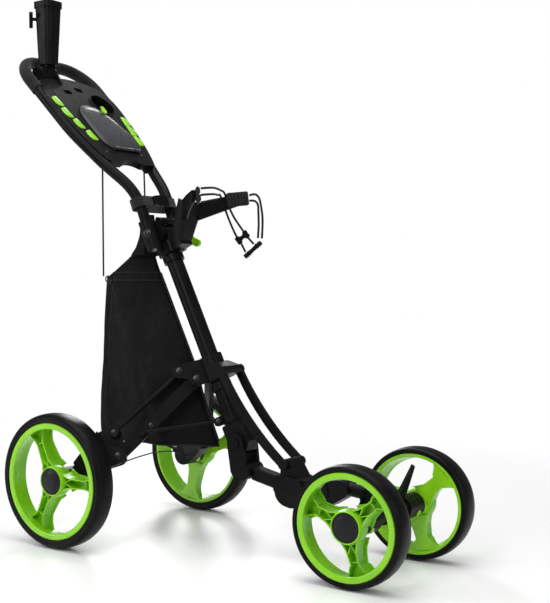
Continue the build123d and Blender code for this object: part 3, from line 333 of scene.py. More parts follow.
MAT = {
    "frame_paint": powder_coat(),
    "black_plastic": moulded("black_plastic", (0.0035, 0.0035, 0.0038), (0.007, 0.007, 0.0075), 0.3, 0.46),
    "cap_plastic": moulded("cap_plastic", (0.012, 0.0125, 0.0135), (0.02, 0.0208, 0.022), 0.25, 0.36, 700, 0.08),
    "green_plastic": green(),
    "tyre": tyre_rubber(),
    "grip_foam": foam(),
    "steel": steel(),
    "black_steel": steel("black_steel", (0.05, 0.05, 0.052), 0.3),
    "bag_fabric": woven("bag_fabric", (0.002, 0.002, 0.0024), (0.0045, 0.0045, 0.0052), 700, 0.46, 0.02),
    "webbing": woven("webbing", (0.008, 0.008, 0.009), (0.02, 0.02, 0.021), 1400, 0.75, 0.2, 0.7),
    "cord": woven("cord", (0.01, 0.01, 0.011), (0.02, 0.02, 0.021), 2200, 0.7, 0.2, 0.7),
    "pad_rubber": moulded("pad_rubber", (0.014, 0.014, 0.015), (0.024, 0.024, 0.025), 0.5, 0.65, 500, 0.35),
    "cable": moulded("cable", (0.012, 0.012, 0.013), (0.02, 0.02, 0.021), 0.35, 0.5),
    "lid_plastic": smoke(),
}

for part in frame["record"]["subparts"]:
    piece = NODES[part["node"]]
    piece.data.materials.clear()
    piece.data.materials.append(MAT[part["material_slot"]])

# ---------------------------------------------------------------- mesh helpers


def add_mesh(name, bm, material, bevel=0.0, segments=2, angle=38, smooth=True):
    """Turns a bmesh into a linked object with one material, optional edge bevels and sharp corners kept."""
    bmesh.ops.remove_doubles(bm, verts=bm.verts, dist=1e-6)
    bmesh.ops.recalc_face_normals(bm, faces=bm.faces)
    mesh = bpy.data.meshes.new(name)
    bm.to_mesh(mesh)
    bm.free()
    mesh.materials.append(material)
    made = bpy.data.objects.new(name, mesh)
    bpy.context.collection.objects.link(made)
    if bevel:
        modifier = made.modifiers.new("bevel", "BEVEL")
        modifier.width = bevel
        modifier.segments = segments
        modifier.limit_method = "ANGLE"
        modifier.angle_limit = math.radians(30)
        modifier.harden_normals = False
    if smooth:
        for face in mesh.polygons:
            face.use_smooth = True
        mesh.set_sharp_from_angle(angle=math.radians(angle))
    return made


def solid_ring(bm, rings, closed=True, cap=False):
    """Joins rings of points (all the same length) with quads. closed joins the last ring to the first."""
    rows = [[bm.verts.new(p) for p in ring] for ring in rings]
    pairs = list(zip(rows, rows[1:]))
    if closed:
        pairs.append((rows[-1], rows[0]))
    for a, b in pairs:
        for i in range(len(a)):
            j = (i + 1) % len(a)
            bm.faces.new((a[i], a[j], b[j], b[i]))
    if cap:
        bm.faces.new(rows[0])
        bm.faces.new(list(reversed(rows[-1])))
    return rows


def lathe(bm, profile, place, segments=96):
    """Turns a closed (along, radius) profile about an axis. place(a, y, z) puts a local point in the row frame."""
    rings = []
    for i in range(segments):
        t = 2 * math.pi * i / segments
        rings.append([place(a, r * math.cos(t), r * math.sin(t)) for a, r in profile])
    solid_ring(bm, rings)


def slab(bm, outline, low, high, place):
    """Prism on a flat outline [(x, y)]; place(x, y, h) puts a local point in the row frame."""
    bottom = [bm.verts.new(place(x, y, low)) for x, y in outline]
    top = [bm.verts.new(place(x, y, high)) for x, y in outline]
    bm.faces.new(list(reversed(bottom)))
    bm.faces.new(top)
    for i in range(len(outline)):
        j = (i + 1) % len(outline)
        bm.faces.new((bottom[i], bottom[j], top[j], top[i]))


def wall(bm, line, thick, low, high, place):
    """A thin rib that follows a line [(x, y)]. low and high are its edges' heights, one value or one per point."""
    n = len(line)
    lows = low if isinstance(low, (list, tuple)) else [low] * n
    highs = high if isinstance(high, (list, tuple)) else [high] * n
    rings = []
    for i, (x, y) in enumerate(line):
        a, b = Vector(line[max(i - 1, 0)]), Vector(line[min(i + 1, n - 1)])
        run = (b - a).normalized()
        off = Vector((-run.y, run.x)) * thick / 2
        rings.append([place(x + off.x, y + off.y, lows[i]), place(x + off.x, y + off.y, highs[i]),
                      place(x - off.x, y - off.y, highs[i]), place(x - off.x, y - off.y, lows[i])])
    solid_ring(bm, rings, closed=False, cap=True)


def smooth_line(points, steps=8, closed=False):
    """Catmull-Rom points through the given ones."""
    pts = [Vector(p) for p in points]
    n = len(pts)
    out = []
    for i in range(n if closed else n - 1):
        p0, p1 = pts[(i - 1) % n] if closed or i else pts[0] * 2 - pts[1], pts[i]
        p2 = pts[(i + 1) % n]
        p3 = pts[(i + 2) % n] if closed or i + 2 < n else pts[-1] * 2 - pts[-2]
        for k in range(steps):
            t = k / steps
            out.append(0.5 * ((2 * p1) + (p2 - p0) * t + (2 * p0 - 5 * p1 + 4 * p2 - p3) * t * t
                              + (3 * p1 - p0 - 3 * p2 + p3) * t ** 3))
    if not closed:
        out.append(pts[-1])
    return out


def frames_along(points, closed=False):
    """Points with a slowly turning side vector each, for tubes and straps."""
    out = []
    side = None
    n = len(points)
    for i, p in enumerate(points):
        a = points[(i - 1) % n] if closed or i else p
        b = points[(i + 1) % n] if closed or i + 1 < n else p
        run = (b - a).normalized()
        if side is None:
            side = run.orthogonal().normalized()
        side = (side - run * side.dot(run)).normalized()
        out.append((p, run, side, run.cross(side)))
    return out


def tube(bm, points, radius, sides=12, closed=False):
    """Round tube along points. radius is one number or one per point."""
    radii = radius if isinstance(radius, (list, tuple)) else [radius] * len(points)
    rings = []
    for (p, _, u, v), r in zip(frames_along(points, closed), radii):
        rings.append([p + (u * math.cos(t) + v * math.sin(t)) * r
                      for t in (2 * math.pi * k / sides for k in range(sides))])
    solid_ring(bm, rings, closed=closed, cap=not closed)


def disc_bolt(bm, centre, axis, radius, height, sides=20, hexagon=False):
    """A bolt or rivet head: a low dome, or a hexagon with a flat top."""
    axis = Vector(axis).normalized()
    u = axis.orthogonal().normalized()
    v = axis.cross(u)
    count = 6 if hexagon else sides
    steps = ((1, 0), (1, 0.7), (0.88, 1)) if hexagon else ((1, 0), (1, 0.35), (0.85, 0.75), (0.55, 0.95), (0.2, 1))
    rings = [[centre + axis * height * h + (u * math.cos(t) + v * math.sin(t)) * radius * k
              for t in (2 * math.pi * i / count for i in range(count))] for k, h in steps]
    solid_ring(bm, rings, closed=False, cap=True)


# ---------------------------------------------------------------- wheels
WHEELS = {
    # side, centre, outer radius, rim seat radius, first spoke's angle from -Y toward +Z
    "rear_right": (-1, at(-259.5, 220, 147.5), 0.1475, 0.1275, 0),
    "rear_left": (1, at(259.5, 220, 147.5), 0.1475, 0.1275, 20),
    "front_right": (-1, at(-142.5, -440, 118.5), 0.1185, 0.1055, 42),
    "front_left": (1, at(142.5, -440, 118.5), 0.1185, 0.1055, 45),
}


def wheel_places(side, centre):
    """Two placers: one for (outward, y, z) about the axle, one for (radial, across, outward) at an angle."""
    def turned(a, y, z):
        return Vector((centre.x + side * a, centre.y + y, centre.z + z))

    def spoke_place(angle):
        c, s = math.cos(angle), math.sin(angle)

        def place(r, t, a):
            return turned(a, -(r * c - t * s), r * s + t * c)
        return place
    return turned, spoke_place


def build_rim(name, side, centre, seat, first):
    turned, spoke_place = wheel_places(side, centre)
    half, inner = 0.023, seat - 0.0135
    bm = bmesh.new()
    profile = [(-half, seat), (half - 0.001, seat), (half + 0.0012, seat - 0.0015), (half + 0.0015, seat - 0.004),
               (half + 0.0013, inner + 0.003), (half + 0.0002, inner + 0.0008), (half - 0.002, inner),
               (half - 0.004, inner + 0.001), (0.004, inner + 0.0034), (-0.012, inner + 0.0052),
               (-half + 0.0015, inner + 0.0064), (-half, inner + 0.008)]
    lathe(bm, profile, turned, 144)
    # hub: barrel, flared neck, ring round the cap
    lathe(bm, [(-0.0195, 0.0065), (-0.0195, 0.0265), (-0.017, 0.0285), (-0.008, 0.0335), (0.002, 0.0352),
               (0.011, 0.0348), (0.0165, 0.0335), (0.0188, 0.0322), (0.0205, 0.0318), (0.0213, 0.031),
               (0.0213, 0.0298), (0.0203, 0.0293), (0.0145, 0.0291), (0.0145, 0.0065)], turned, 96)
    for k in range(3):
        place = spoke_place(math.radians(first + 120 * k))
        reach = inner + 0.0052
        marks = [0.026, 0.036, 0.048, 0.5 * (0.048 + reach), reach - 0.022, reach - 0.010, reach]
        widths = [0.0200, 0.0155, 0.0118, 0.0102, 0.0128, 0.0180, 0.0245]
        line = smooth_line([Vector((m, w, 0)) for m, w in zip(marks, widths)], 5)
        edge = [(p.x, p.y) for p in line]
        top = [0.0155 - 0.0115 * ((x - 0.026) / (reach - 0.026)) ** 1.4 for x, _ in edge]
        for sign in (-1, 1):
            wall(bm, [(x, sign * (w - 0.0013)) for x, w in edge], 0.0026, -0.0195, top, place)
        # web between the ribs, set back, and a wider skirt at its back
        outline = [(x, w - 0.001) for x, w in edge] + [(x, -(w - 0.001)) for x, w in reversed(edge)]
        slab(bm, outline, -0.0150, -0.0090, place)
        skirt = smooth_line([Vector((m, w, 0)) for m, w in
                             zip(marks, (0.026, 0.0215, 0.0160, 0.0138, 0.0175, 0.0260, 0.0370))], 5)
        slab(bm, [(p.x, p.y) for p in skirt] + [(p.x, -p.y) for p in reversed(skirt)], -0.0205, -0.0172, place)
        # a small V of ribs at the hub and one cross rib toward the rim
        for sign in (-1, 1):
            vee = smooth_line([Vector((0.032, 0, 0)), Vector((0.040, sign * 0.0030, 0)),
                               Vector((0.052, sign * 0.0095, 0))], 5)
            wall(bm, [(p.x, p.y) for p in vee], 0.0018, -0.0100, 0.0120, place)
        cross = reach - 0.030
        wall(bm, [(cross, -0.0115), (cross + 0.001, 0), (cross, 0.0115)], 0.0022, -0.0100, 0.0055, place)
    rim = add_mesh(name, bm, MAT["green_plastic"], bevel=0.0005, segments=2)
    return rim


def build_tyre(name, side, centre, outer, seat):
    turned, _ = wheel_places(side, centre)
    depth = outer - seat
    bm = bmesh.new()
    step = seat + 0.36 * depth
    right = [(0.0235, seat + 0.0005), (0.0246, seat + 0.0020), (0.0249, seat + 0.0042), (0.0242, seat + 0.0052),
             (0.0243, seat + 0.0062), (0.0250, step + 0.0040), (0.0248, outer - 0.0095), (0.0232, outer - 0.0055),
             (0.0218, outer - 0.0048), (0.0206, outer - 0.0030), (0.0160, outer - 0.0014), (0.0080, outer - 0.0003),
             (0.0, outer)]
    left = [(-a, r) for a, r in reversed(right[:-1])]
    profile = right + left
    lathe(bm, profile, turned, 160)
    return add_mesh(name, bm, MAT["tyre"], angle=50)


def build_cap(name, side, centre):
    turned, _ = wheel_places(side, centre)
    bm = bmesh.new()
    profile = [(0.0150, 0.0), (0.0150, 0.0286), (0.0196, 0.0288), (0.0206, 0.0278), (0.0208, 0.0262),
               (0.0202, 0.0250), (0.0204, 0.0236), (0.0216, 0.0215), (0.0228, 0.0150), (0.0234, 0.0070),
               (0.0236, 0.0)]
    rings = []
    for a, r in profile[1:-1]:
        rings.append([turned(a, r * math.cos(t), r * math.sin(t))
                      for t in (2 * math.pi * i / 72 for i in range(72))])
    solid_ring(bm, rings, closed=False, cap=True)
    return add_mesh(name, bm, MAT["cap_plastic"], angle=50)


for place_name, (side, centre, outer, seat, first) in WHEELS.items():
    body = f"wheel_{place_name}"
    rim = build_rim(f"rim_shell_{place_name}", side, centre, seat, first)
    tyre = build_tyre(f"tyre_skin_{place_name}", side, centre, outer, seat)
    cap = build_cap(f"cap_disc_{place_name}", side, centre)
    for piece, node in ((rim, f"rim_{place_name}"), (tyre, f"tyre_{place_name}"), (cap, f"hub_cap_{place_name}")):
        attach(piece, body)
        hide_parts(node)

# ---------------------------------------------------------------- bag
POST_UP = Vector((0, 0.4317, 0.9020))


def between(pairs, z):
    """Straight-line value at height z from [(height, value)]."""
    if z <= pairs[0][0]:
        return pairs[0][1]
    for (z0, v0), (z1, v1) in zip(pairs, pairs[1:]):
        if z <= z1:
            return v0 + (v1 - v0) * (z - z0) / (z1 - z0)
    return pairs[-1][1]


BAG_FRONT = [(214, -28), (222, -26), (330, 20), (380, 35), (600, 141), (625, 153), (650, 163), (735, 172)]
BAG_REAR = [(214, 262), (219, 266), (300, 264), (400, 256), (500, 251), (560, 246), (592, 243), (612, 226),
            (635, 206), (660, 194), (690, 187), (735, 186)]
BAG_WIDE = [(214, 70), (250, 74), (400, 73), (560, 72), (590, 71), (606, 56), (632, 38), (655, 28), (680, 22),
            (735, 20)]


def bag_ring(z, count):
    """One level of the bag: a narrow fold at the post, flat sides that open toward the back, and a back panel."""
    tip, rear, wide = between(BAG_FRONT, z), between(BAG_REAR, z), between(BAG_WIDE, z)
    if z < 600:
        wide = min(wide, 0.74 * (rear - 8 - tip) + 6)
    shoulder = min(tip + (wide - 5) / 0.74, rear - 6) if z < 640 else tip + 3
    sag = 5 * math.sin(math.pi * min(max((z - 230) / 360, 0), 1))
    half = [(0, tip), (5 if z < 640 else wide * 0.8, tip + 0.5), (wide * 0.55, tip + (shoulder - tip) * 0.52),
            (wide * 0.98, shoulder), (wide - sag * 0.5, (shoulder + rear) / 2), (wide, rear - 2), (wide - 3, rear),
            (wide * 0.5, rear - sag), (0, rear - sag * 1.2)]
    line = [Vector((x, y)) for x, y in half] + [Vector((-x, y)) for x, y in reversed(half[1:-1])]
    lengths = [0.0]
    for a, b in zip(line, line[1:] + line[:1]):
        lengths.append(lengths[-1] + (b - a).length)
    ring, k = [], 0
    for i in range(count):
        d = lengths[-1] * i / count
        while lengths[k + 1] < d:
            k += 1
        a, b = line[k], line[(k + 1) % len(line)]
        ring.append(a.lerp(b, (d - lengths[k]) / max(lengths[k + 1] - lengths[k], 1e-9)))
    for _ in range(2):
        ring = [(ring[i - 1] + ring[i] * 2 + ring[(i + 1) % count]) / 4 for i in range(count)]
    return ring


def bag_crease(x, y, z):
    """How far the cloth falls in at a point: long soft diagonals low down, tight ripples along the edges."""
    side = 1 if x > 0 else -1
    low = max(0.0, min(1.0, (470 - z) / 230))
    wander = noise.noise(Vector((y * 0.011, z * 0.008, side * 3.1))) * 2.4
    diagonal = math.sin((y * 0.75 + z * 0.62) * 0.042 + wander + side)
    upright = math.sin(y * 0.062 + noise.noise(Vector((z * 0.006, side * 5.0, 0.3))) * 3.0)
    ripple = noise.noise(Vector((x * 0.03, y * 0.035, z * 0.022)))
    fine = noise.noise(Vector((x * 0.08, y * 0.09, z * 0.06)))
    return 2.2 * low * max(0, diagonal) ** 1.5 + 1.7 * max(0, upright) + 1.9 * abs(ripple) + 0.7 * fine


def make_bag():
    count, rows = 132, 118
    bm = bmesh.new()
    rings, edges = [], {-1: [], 1: []}
    inner = {-1: [], 1: []}
    for r in range(rows):
        z = 215 + (734 - 215) * r / (rows - 1)
        flat = bag_ring(z, count)
        centre = Vector((0, sum(p.y for p in flat) / count))
        ring = []
        for p in flat:
            out = (p - centre).normalized()
            fall = bag_crease(p.x, p.y, z) * (1 if z < 600 else 0.35)
            near_edge = min(abs(abs(p.x) - between(BAG_WIDE, z)) + abs(p.y - between(BAG_REAR, z)), 14) / 14
            q = p - out * fall * near_edge
            ring.append(at(q.x, q.y, z + 1.4 * math.sin(q.y * 0.05) * (1 if r == 0 else 0)))
        rings.append(ring)
        if z < 594:
            for side in (-1, 1):
                corner = Vector((side * between(BAG_WIDE, z), between(BAG_REAR, z)))
                best = min(range(count), key=lambda i: (flat[i] - corner).length)
                edges[side].append(ring[best])
                strip = Vector((side * between(BAG_WIDE, z), between(BAG_REAR, z) - 19))
                best = min(range(count), key=lambda i: (flat[i] - strip).length)
                inner[side].append(ring[best])
    solid_ring(bm, rings, closed=False, cap=True)
    bag = add_mesh("bag_shell", bm, MAT["bag_fabric"], angle=60)
    seams = bmesh.new()
    for side in (-1, 1):
        tube(seams, smooth_line(edges[side][::6] + [edges[side][-1]], 4), 0.0019, 8)
        tube(seams, smooth_line(inner[side][::6] + [inner[side][-1]], 4), 0.0011, 8)
        front = [at(side * 1.5, between(BAG_FRONT, z) - 1.5, z) for z in range(226, 601, 22)]
        tube(seams, smooth_line(front, 4), 0.0013, 8)
    hem = [rings[0][i] + Vector((0, 0, 0.0012)) for i in range(0, count, 4)]
    tube(seams, smooth_line(hem, 3, closed=True), 0.0018, 8, closed=True)
    for z in (585, 600):
        ring = rings[round((z - 215) / 519 * (rows - 1))]
        tube(seams, smooth_line([ring[i] for i in range(0, count, 4)], 3, closed=True), 0.0012, 8, closed=True)
    seam = add_mesh("bag_seams", seams, MAT["webbing"])
    rivets = bmesh.new()
    for side in (-1, 1):
        middle = at(side * 71.5, 233, 580)
        circle = [middle + Vector((0, math.cos(t), math.sin(t))) * 0.0045
                  for t in (2 * math.pi * i / 40 for i in range(40))]
        tube(rivets, circle, 0.0013, 10, closed=True)
    grommets = add_mesh("bag_grommets", rivets, MAT["black_steel"])
    for piece in (bag, seam, grommets):
        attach(piece, "frame")
        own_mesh(piece)
    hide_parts("storage_bag")


make_bag()


def nurbs(name, route, diameter, material):
    """A round cord whose smooth line has the route's points as its control points."""
    data = bpy.data.curves.new(name, "CURVE")
    data.dimensions = "3D"
    data.bevel_depth = diameter / 2
    data.bevel_resolution = 4
    data.resolution_u = 14
    data.use_fill_caps = diameter > 0
    spline = data.splines.new("NURBS")
    spline.points.add(len(route) - 1)
    for point, place in zip(spline.points, route):
        point.co = (*place, 1)
    spline.order_u = 3
    spline.use_endpoint_u = True
    if material:
        data.materials.append(material)
    made = bpy.data.objects.new(name, data)
    bpy.context.collection.objects.link(made)
    return made


def spline_points(name, route):
    """The points along a route's NURBS spline, as Blender gives them for a curve with no bevel."""
    curve = nurbs(name, route, 0, None)
    bpy.context.view_layer.update()
    mesh = bpy.data.meshes.new_from_object(curve.evaluated_get(bpy.context.evaluated_depsgraph_get()))
    line = [v.co.copy() for v in mesh.vertices]
    bpy.data.meshes.remove(mesh)
    bpy.data.objects.remove(curve)
    return line


# ---------------------------------------------------------------- bag cords
CONSOLE_ALONG = Vector((0, math.cos(math.radians(45.5)), math.sin(math.radians(45.5))))
CONSOLE_ABOVE = Vector((0, -CONSOLE_ALONG.z, CONSOLE_ALONG.y))


def on_console(x, along, above):
    return at(x, 226, 857) + (CONSOLE_ALONG * along + CONSOLE_ABOVE * above) / 1000


for label, side in (("right", -1), ("left", 1)):
    top, low = on_console(side * 74, 6, -30.5), at(side * 78.5, 246, 592)
    line = spline_points(f"bag_cord_line_{label}", [top, low])
    bm = bmesh.new()
    tube(bm, line, 0.002, 12)
    cord = add_mesh(f"bag_cord_{label}", bm, MAT["cord"])
    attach(cord, "frame")
    [tuple(p) for p in line]
    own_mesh(cord)
    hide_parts("bag_cords")
    bm = bmesh.new()
    hoop = [low + Vector((0, math.cos(t), math.sin(t))) * 0.0072 + Vector((-side * 0.0055, -0.009, -0.0065))
            for t in (2 * math.pi * i / 32 for i in range(32))]
    tube(bm, hoop, 0.0014, 10, closed=True)
    loop = add_mesh(f"bag_cord_loop_{label}", bm, MAT["cord"])
    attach(loop, "frame")
    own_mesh(loop)

# ---------------------------------------------------------------- brake cable
CABLE_END = 180.5
CABLE = {
    "right": ("carrier_right", [(-CABLE_END, 208, 148), (-152, 196, 152), (-112, 178, 166), (-62, 164, 178),
                                (-6, 158, 183)]),
    "left": ("carrier_left", [(CABLE_END, 208, 148), (146, 194, 154), (100, 174, 170), (50, 162, 180),
                              (-6, 158, 183)]),
}
for label, (body, route) in CABLE.items():
    cable = nurbs(f"brake_cable_{label}", [at(*p) for p in route], 0.003, MAT["cable"])
    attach(cable, body)
    tuple(at(*route[0]))
    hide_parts("brake_cable")

# ---------------------------------------------------------------- bungee cords, divider and toggle
DIVIDER_AT = at(90, -24.8, 679.9)
DIVIDER_ACROSS = Vector((0.483, -0.606, 0.636)).normalized()
DIVIDER_DOWN = Vector((0.365, -0.465, -0.806)).normalized()
TOGGLE_AT = at(100.9, -46.5, 652)
TOGGLE_ALONG = Vector((0.46, -0.575, 0.676)).normalized()


def through_divider(side):
    middle = DIVIDER_AT + DIVIDER_ACROSS * (side * 0.010)
    return [middle - DIVIDER_DOWN * 0.012, middle + DIVIDER_DOWN * 0.012]


BUNGEE = {
    "bungee_right_low": ("bungee_cord_right", 0.309, [
        at(-85, -39.5, 765), at(-70, -51.5, 767), at(-38, -44, 769), at(8, -17, 770), at(66, 20, 779),
        at(80, 11, 731),
        *through_divider(-1), at(91.4, -32.5, 647)]),
    "bungee_right_high": ("bungee_cord_right", 0.305, [
        at(-85, -39.5, 779), at(-70, -52.5, 781), at(-38, -45.5, 782), at(12, -21.5, 781), at(73, 12, 782),
        at(85.6, 4.1, 735.4),
        *through_divider(1), at(103.3, -47.2, 664.9)]),
    "bungee_left_outer": ("bungee_cord_left", 0.119, [
        at(96, -39.5, 774), at(111, -53.2, 783.5), at(112.2, -64, 736), at(112.8, -65, 707), at(111.5, -63.5, 677)]),
    "bungee_left_inner": ("bungee_cord_left", 0.099, [
        at(96, -39.5, 762), at(109.8, -53.8, 765.5), at(107.2, -57, 728), at(107.9, -57.6, 703),
        at(107, -55.8, 678)]),
}


def square_to(direction):
    side = direction.orthogonal().normalized()
    return side, direction.cross(side).normalized()


def make_divider():
    """An H of two sleeves, pinched in the middle."""
    normal = DIVIDER_ACROSS.cross(DIVIDER_DOWN).normalized()
    outline = smooth_line([Vector(p) for p in ((-15, -9), (0, -4.5), (15, -9), (16.2, 0), (15, 9), (0, 4.5), (-15, 9),
                                               (-16.2, 0))], 6, closed=True)
    bm = bmesh.new()
    slab(bm, [(p.x / 1000, p.y / 1000) for p in outline], -0.0022, 0.0022,
         lambda x, y, h: DIVIDER_AT + DIVIDER_ACROSS * x + DIVIDER_DOWN * y + normal * h)
    for side in (-1, 1):
        middle = DIVIDER_AT + DIVIDER_ACROSS * (side * 0.010)
        line = [middle + DIVIDER_DOWN * d for d in (-0.0090, -0.0075, 0, 0.0075, 0.0090)]
        tube(bm, line, [0.0044, 0.0052, 0.0046, 0.0052, 0.0044], 20)
    return add_mesh("bungee_divider", bm, MAT["black_plastic"], bevel=0.0006)


def make_toggle():
    """A bar with stepped ridges at both ends and a waist, oval and drawn thicker than the CAD bar."""
    swell, wide, flat = 1.25, 1.08, 0.86
    u, v = square_to(TOGGLE_ALONG)
    profile = [(-25.4, 0.6), (-25.2, 3.4), (-24, 5.2), (-21.4, 5.6), (-21.0, 4.4), (-19.2, 4.4), (-18.8, 5.8),
               (-16.2, 5.8), (-15.8, 4.5), (-14.0, 4.5), (-13.6, 5.7), (-11.0, 5.5), (-8, 4.7), (0, 4.3), (8, 4.7),
               (11.0, 5.5), (13.6, 5.7), (14.0, 4.5), (15.8, 4.5), (16.2, 5.8), (18.8, 5.8), (19.2, 4.4),
               (21.0, 4.4), (21.4, 5.6), (24, 5.2), (25.2, 3.4), (25.4, 0.6)]
    bm = bmesh.new()
    rings = [[TOGGLE_AT + TOGGLE_ALONG * (a / 1000)
              + (u * math.cos(t) * wide + v * math.sin(t) * flat) * (swell * r / 1000)
              for t in (2 * math.pi * i / 28 for i in range(28))] for a, r in profile]
    solid_ring(bm, rings, closed=False, cap=True)
    return add_mesh("bungee_toggle", bm, MAT["black_plastic"], angle=30)


divider, toggle = make_divider(), make_toggle()
for piece, node in ((divider, "bungee_slider"), (toggle, "bungee_hook")):
    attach(piece, "frame")
    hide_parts(node)
for label, (node, length, route) in BUNGEE.items():
    strand = nurbs(label, route, 0.005, MAT["cord"])
    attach(strand, "frame")
    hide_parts(node)
    tuple(route[0])

# ---------------------------------------------------------------- bracket pads
bm = bmesh.new()
for side in (-1, 1):
    turn = math.radians(42)
    face = Vector((-side * math.sin(turn), -math.cos(turn), 0.12)).normalized()
    along = Vector((side * math.cos(turn), -math.sin(turn), 0.1)).normalized()
    up = face.cross(along).normalized() * -side
    origin = at(side * 76, -21, 765)

    def pad_place(x, y, h):
        return origin + along * x + up * y + face * h
    corner = [(math.cos(t), math.sin(t)) for t in (math.radians(15 * k) for k in range(25))]
    base = [((0.0205 if c > 0 else -0.0205) + 0.0045 * c, (0.0115 if s > 0 else -0.0115) + 0.0045 * s)
            for c, s in corner]
    slab(bm, base, 0.0, 0.0042, pad_place)
    for k in range(6):
        x = -0.0195 + 0.0078 * k
        for low, high in ((-0.0135, -0.0022), (0.0022, 0.0135)):
            slab(bm, [(x - 0.0024, low), (x + 0.0024, low), (x + 0.0024, high), (x - 0.0024, high)],
                 0.0042, 0.0070, pad_place)
pads = add_mesh("bracket_pad_faces", bm, MAT["pad_rubber"], bevel=0.0007)
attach(pads, "frame")
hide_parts("bracket_pads")

# ---------------------------------------------------------------- webbing strap and its buckle
STRAP_UP = Vector((0, 0.36, 0.93)).normalized()
STRAP_SIDE = Vector((0, STRAP_UP.z, -STRAP_UP.y))
STRAP_AT = at(0, 157, 745)


def strap_line(grow):
    """A rounded loop round the two handle tubes."""
    points = []
    for cx, start in ((51, -90), (-51, 90)):
        for k in range(13):
            t = math.radians(start + 15 * k)
            r = 19.2 + grow
            points.append((cx + r * math.cos(t), r * math.sin(t)))
    return [(x, y * (1 + 0.04 * math.cos(x * 0.05))) for x, y in points]


bm = bmesh.new()
outer, inner_line = strap_line(1.0), strap_line(-0.8)
rows = []
for line, h in ((inner_line, 0.0005), (outer, 0.0), (outer, 0.0235), (inner_line, 0.023)):
    rows.append([STRAP_AT + Vector((x / 1000, 0, 0)) + STRAP_SIDE * (y / 1000) + STRAP_UP * h for x, y in line])
solid_ring(bm, rows)
strap = add_mesh("handle_strap_web", bm, MAT["webbing"], bevel=0.0004, angle=50)
bm = bmesh.new()


def buckle_place(x, y, h):
    return STRAP_AT + Vector((x / 1000, 0, 0)) - STRAP_SIDE * ((21 + h) / 1000) + STRAP_UP * (0.0117 + y / 1000)


slab(bm, [(-25, -10), (-8, -13), (-6, -9), (-6, 9), (-8, 13), (-25, 10)], -1, 4.6, buckle_place)
slab(bm, [(-5, -13), (14, -13), (25, -11), (25, 11), (14, 13), (-5, 13)], -1, 5.4, buckle_place)
slab(bm, [(-5, -4.5), (9, -4.5), (9, 4.5), (-5, 4.5)], 5.2, 6.3, buckle_place)
for x in (15, 18.5, 22):
    slab(bm, [(x - 0.7, -9), (x + 0.7, -9), (x + 0.7, 9), (x - 0.7, 9)], 5.2, 6.0, buckle_place)
buckle = add_mesh("handle_strap_buckle", bm, MAT["black_plastic"], bevel=0.0006)
for piece in (strap, buckle):
    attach(piece, "handle")
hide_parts("handle_strap")


# ---------------------------------------------------------------- console: lid and inserts
def console_place(x, along, above):
    """Metres across, along and above the console's face."""
    return at(0, 226, 857) + Vector((x, 0, 0)) + CONSOLE_ALONG * along + CONSOLE_ABOVE * above


LID = [(-30, 43), (18, 42), (60, 44), (80, 62), (82, 96), (62, 148), (36, 184), (2, 197), (-32, 191), (-52, 162),
       (-56, 112), (-52, 66)]
bm = bmesh.new()
outline = smooth_line([Vector(p) for p in LID], 8, closed=True)
middle = Vector((8, 112))
rings = []
for share, above in ((0.90, 0.5), (0.985, 0.5), (1.0, 1.2), (1.0, 2.0), (0.985, 2.9), (0.95, 3.4), (0.94, 3.1),
                     (0.925, 3.1), (0.91, 3.7), (0.75, 4.6), (0.5, 5.3), (0.2, 5.6)):
    rings.append([console_place(q.x / 1000, q.y / 1000, above / 1000)
                  for q in (middle + (p - middle) * share for p in outline)])
solid_ring(bm, rings, closed=False, cap=True)
for low, high in ((-30, -12), (-8, 38), (42, 60)):
    tube(bm, [console_place(x / 1000, 0.042, 0.0044) for x in (low, low + 1, high - 1, high)], 0.0036, 20)
lid = add_mesh("console_lid_shell", bm, MAT["lid_plastic"], bevel=0.0003, angle=32)
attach(lid, "lid")
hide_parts("console_lid")

bm = bmesh.new()
for x, along in ((-75, 84), (-90, 122), (-102, 159), (-105, 199), (97, 86), (101, 122), (106, 158)):
    side = -1 if x < 0 else 1
    turn = math.radians(100 if x < 0 else 80)
    outline = [(-17.5, -10.5), (17.5, -10.5), (17.8, -2), (15.5, 5), (10.5, 9.2), (4, 10.8), (-4, 10.8),
               (-10.5, 9.2), (-15.5, 5), (-17.8, -2)]
    rings = []
    for share, above in ((1.0, -1.2), (1.0, 0.8), (0.93, 1.9), (0.8, 2.4), (0.4, 2.7)):
        ring = []
        for t, n in outline:
            t, n = t * share, n * share * -side
            ring.append(console_place((x + t * math.cos(turn) - n * math.sin(turn)) / 1000,
                                      (along + t * math.sin(turn) + n * math.cos(turn)) / 1000, above / 1000))
        rings.append(ring)
    solid_ring(bm, rings, closed=False, cap=True)
inserts = add_mesh("console_insert_caps", bm, MAT["green_plastic"], bevel=0.0006, angle=50)
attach(inserts, "handle")
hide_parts("console_inserts")

# ---------------------------------------------------------------- bolts and trim
LEG_OUT = Vector((0.6386, 0.6942, -0.3322))
LEG_NORMAL = Vector((-0.7696, 0.5760, -0.2756))


def leg_point(side, along, away):
    """A point on a leg's middle plane: along the post and away from it."""
    out = Vector((LEG_OUT.x * side, LEG_OUT.y, LEG_OUT.z))
    normal = Vector((LEG_NORMAL.x * side, LEG_NORMAL.y, LEG_NORMAL.z))
    square = POST_UP.cross(out).normalized().cross(POST_UP)
    return at(0, -90, 230) + normal * 0.014 + (POST_UP * along + square * away) / 1000, normal


bpy.context.view_layer.update()
GRAPH = bpy.context.evaluated_depsgraph_get()


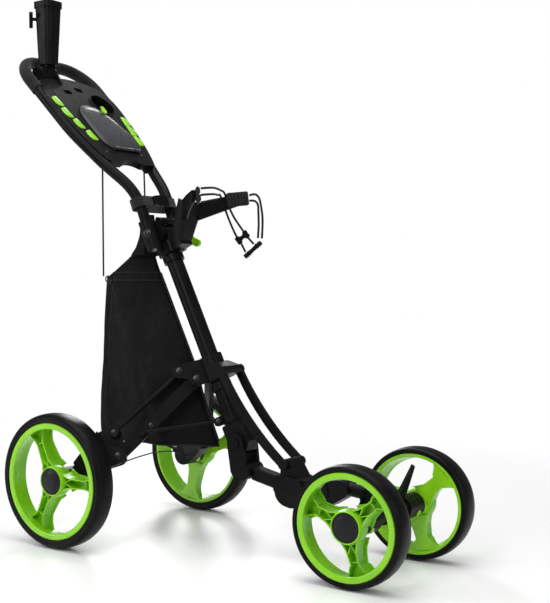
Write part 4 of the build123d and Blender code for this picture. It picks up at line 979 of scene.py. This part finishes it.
def bolt_on(name, target, direction, radius, height, hexagon=False):
    """Seats a bolt head on the first surface met on the way to the target, and rides that surface's body."""
    direction = Vector(direction).normalized()
    start = target - direction * 0.075
    hit, place, normal, _, found, _ = bpy.context.scene.ray_cast(GRAPH, start, direction, distance=0.12)
    if not hit or abs(normal.dot(direction)) < 0.8 or found.type != "MESH" or found.name not in NODES:
        return
    bm = bmesh.new()
    disc_bolt(bm, place - normal * 0.0003, normal, radius * 1.55, 0.0009, 28)
    disc_bolt(bm, place + normal * 0.0004, normal, radius, height, 24, hexagon)
    head = add_mesh(name, bm, MAT["black_steel"], bevel=0.0002)
    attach(head, body_of(found)[0])


for side in (-1, 1):
    label = "right" if side < 0 else "left"
    for k, (along, away, radius) in enumerate(((167, 46, 4.6), (196, 76, 4.6), (64, 266, 4.6), (119, 258, 4.2),
                                               (60, 34, 3.6), (104, 176, 3.4))):
        point, normal = leg_point(side, along, away)
        bolt_on(f"leg_bolt_{label}_{k}_out", point, normal, radius / 1000, 0.0028)
        bolt_on(f"leg_bolt_{label}_{k}_in", point, -normal, radius / 1000, 0.0034, hexagon=True)
    hinge = at(0, -90, 230) + POST_UP * 0.508
    bolt_on(f"hinge_bolt_{label}", hinge, (-side, 0, 0), 0.0062, 0.003)
    for k, (y, z) in enumerate(((-432, 150), (-300, 160), (-250, 176))):
        bolt_on(f"nose_bolt_{label}_{k}", at(0, y, z), (-side, 0, 0), 0.0036, 0.0022)
    for k, (along, x) in enumerate(((30, 62), (236, 84))):
        bolt_on(f"console_screw_{label}_{k}", console_place(side * x / 1000, along / 1000, 0),
                -CONSOLE_ABOVE, 0.0026, 0.0014)

# raised edges along the bracket's arms, and thin seams across them
bm = bmesh.new()
for side in (-1, 1):
    arm = ((22, 52, 738, 21, 7.5), (56, 16, 752, 17, 5.5), (84, -20, 764, 13, 4))
    away = Vector((side * 0.75, 0.66, 0))
    for edge in (-1, 1):
        line = [at(side * x, y, z + edge * (half - 2.2)) + away * (thick / 1000) for x, y, z, half, thick in arm]
        tube(bm, smooth_line(line, 8), 0.0017, 10)
    middle = [at(side * x, y, z) + away * (thick / 1000) for x, y, z, half, thick in arm]
    path = smooth_line(middle, 8)
    for k, half in ((4, 17), (7, 15.5), (10, 14), (13, 12)):
        tube(bm, [path[k] + Vector((0, 0, h / 1000)) for h in (-half, 0, half)], 0.0009, 8)
trim = add_mesh("bracket_trim", bm, MAT["black_plastic"])
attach(trim, "frame")
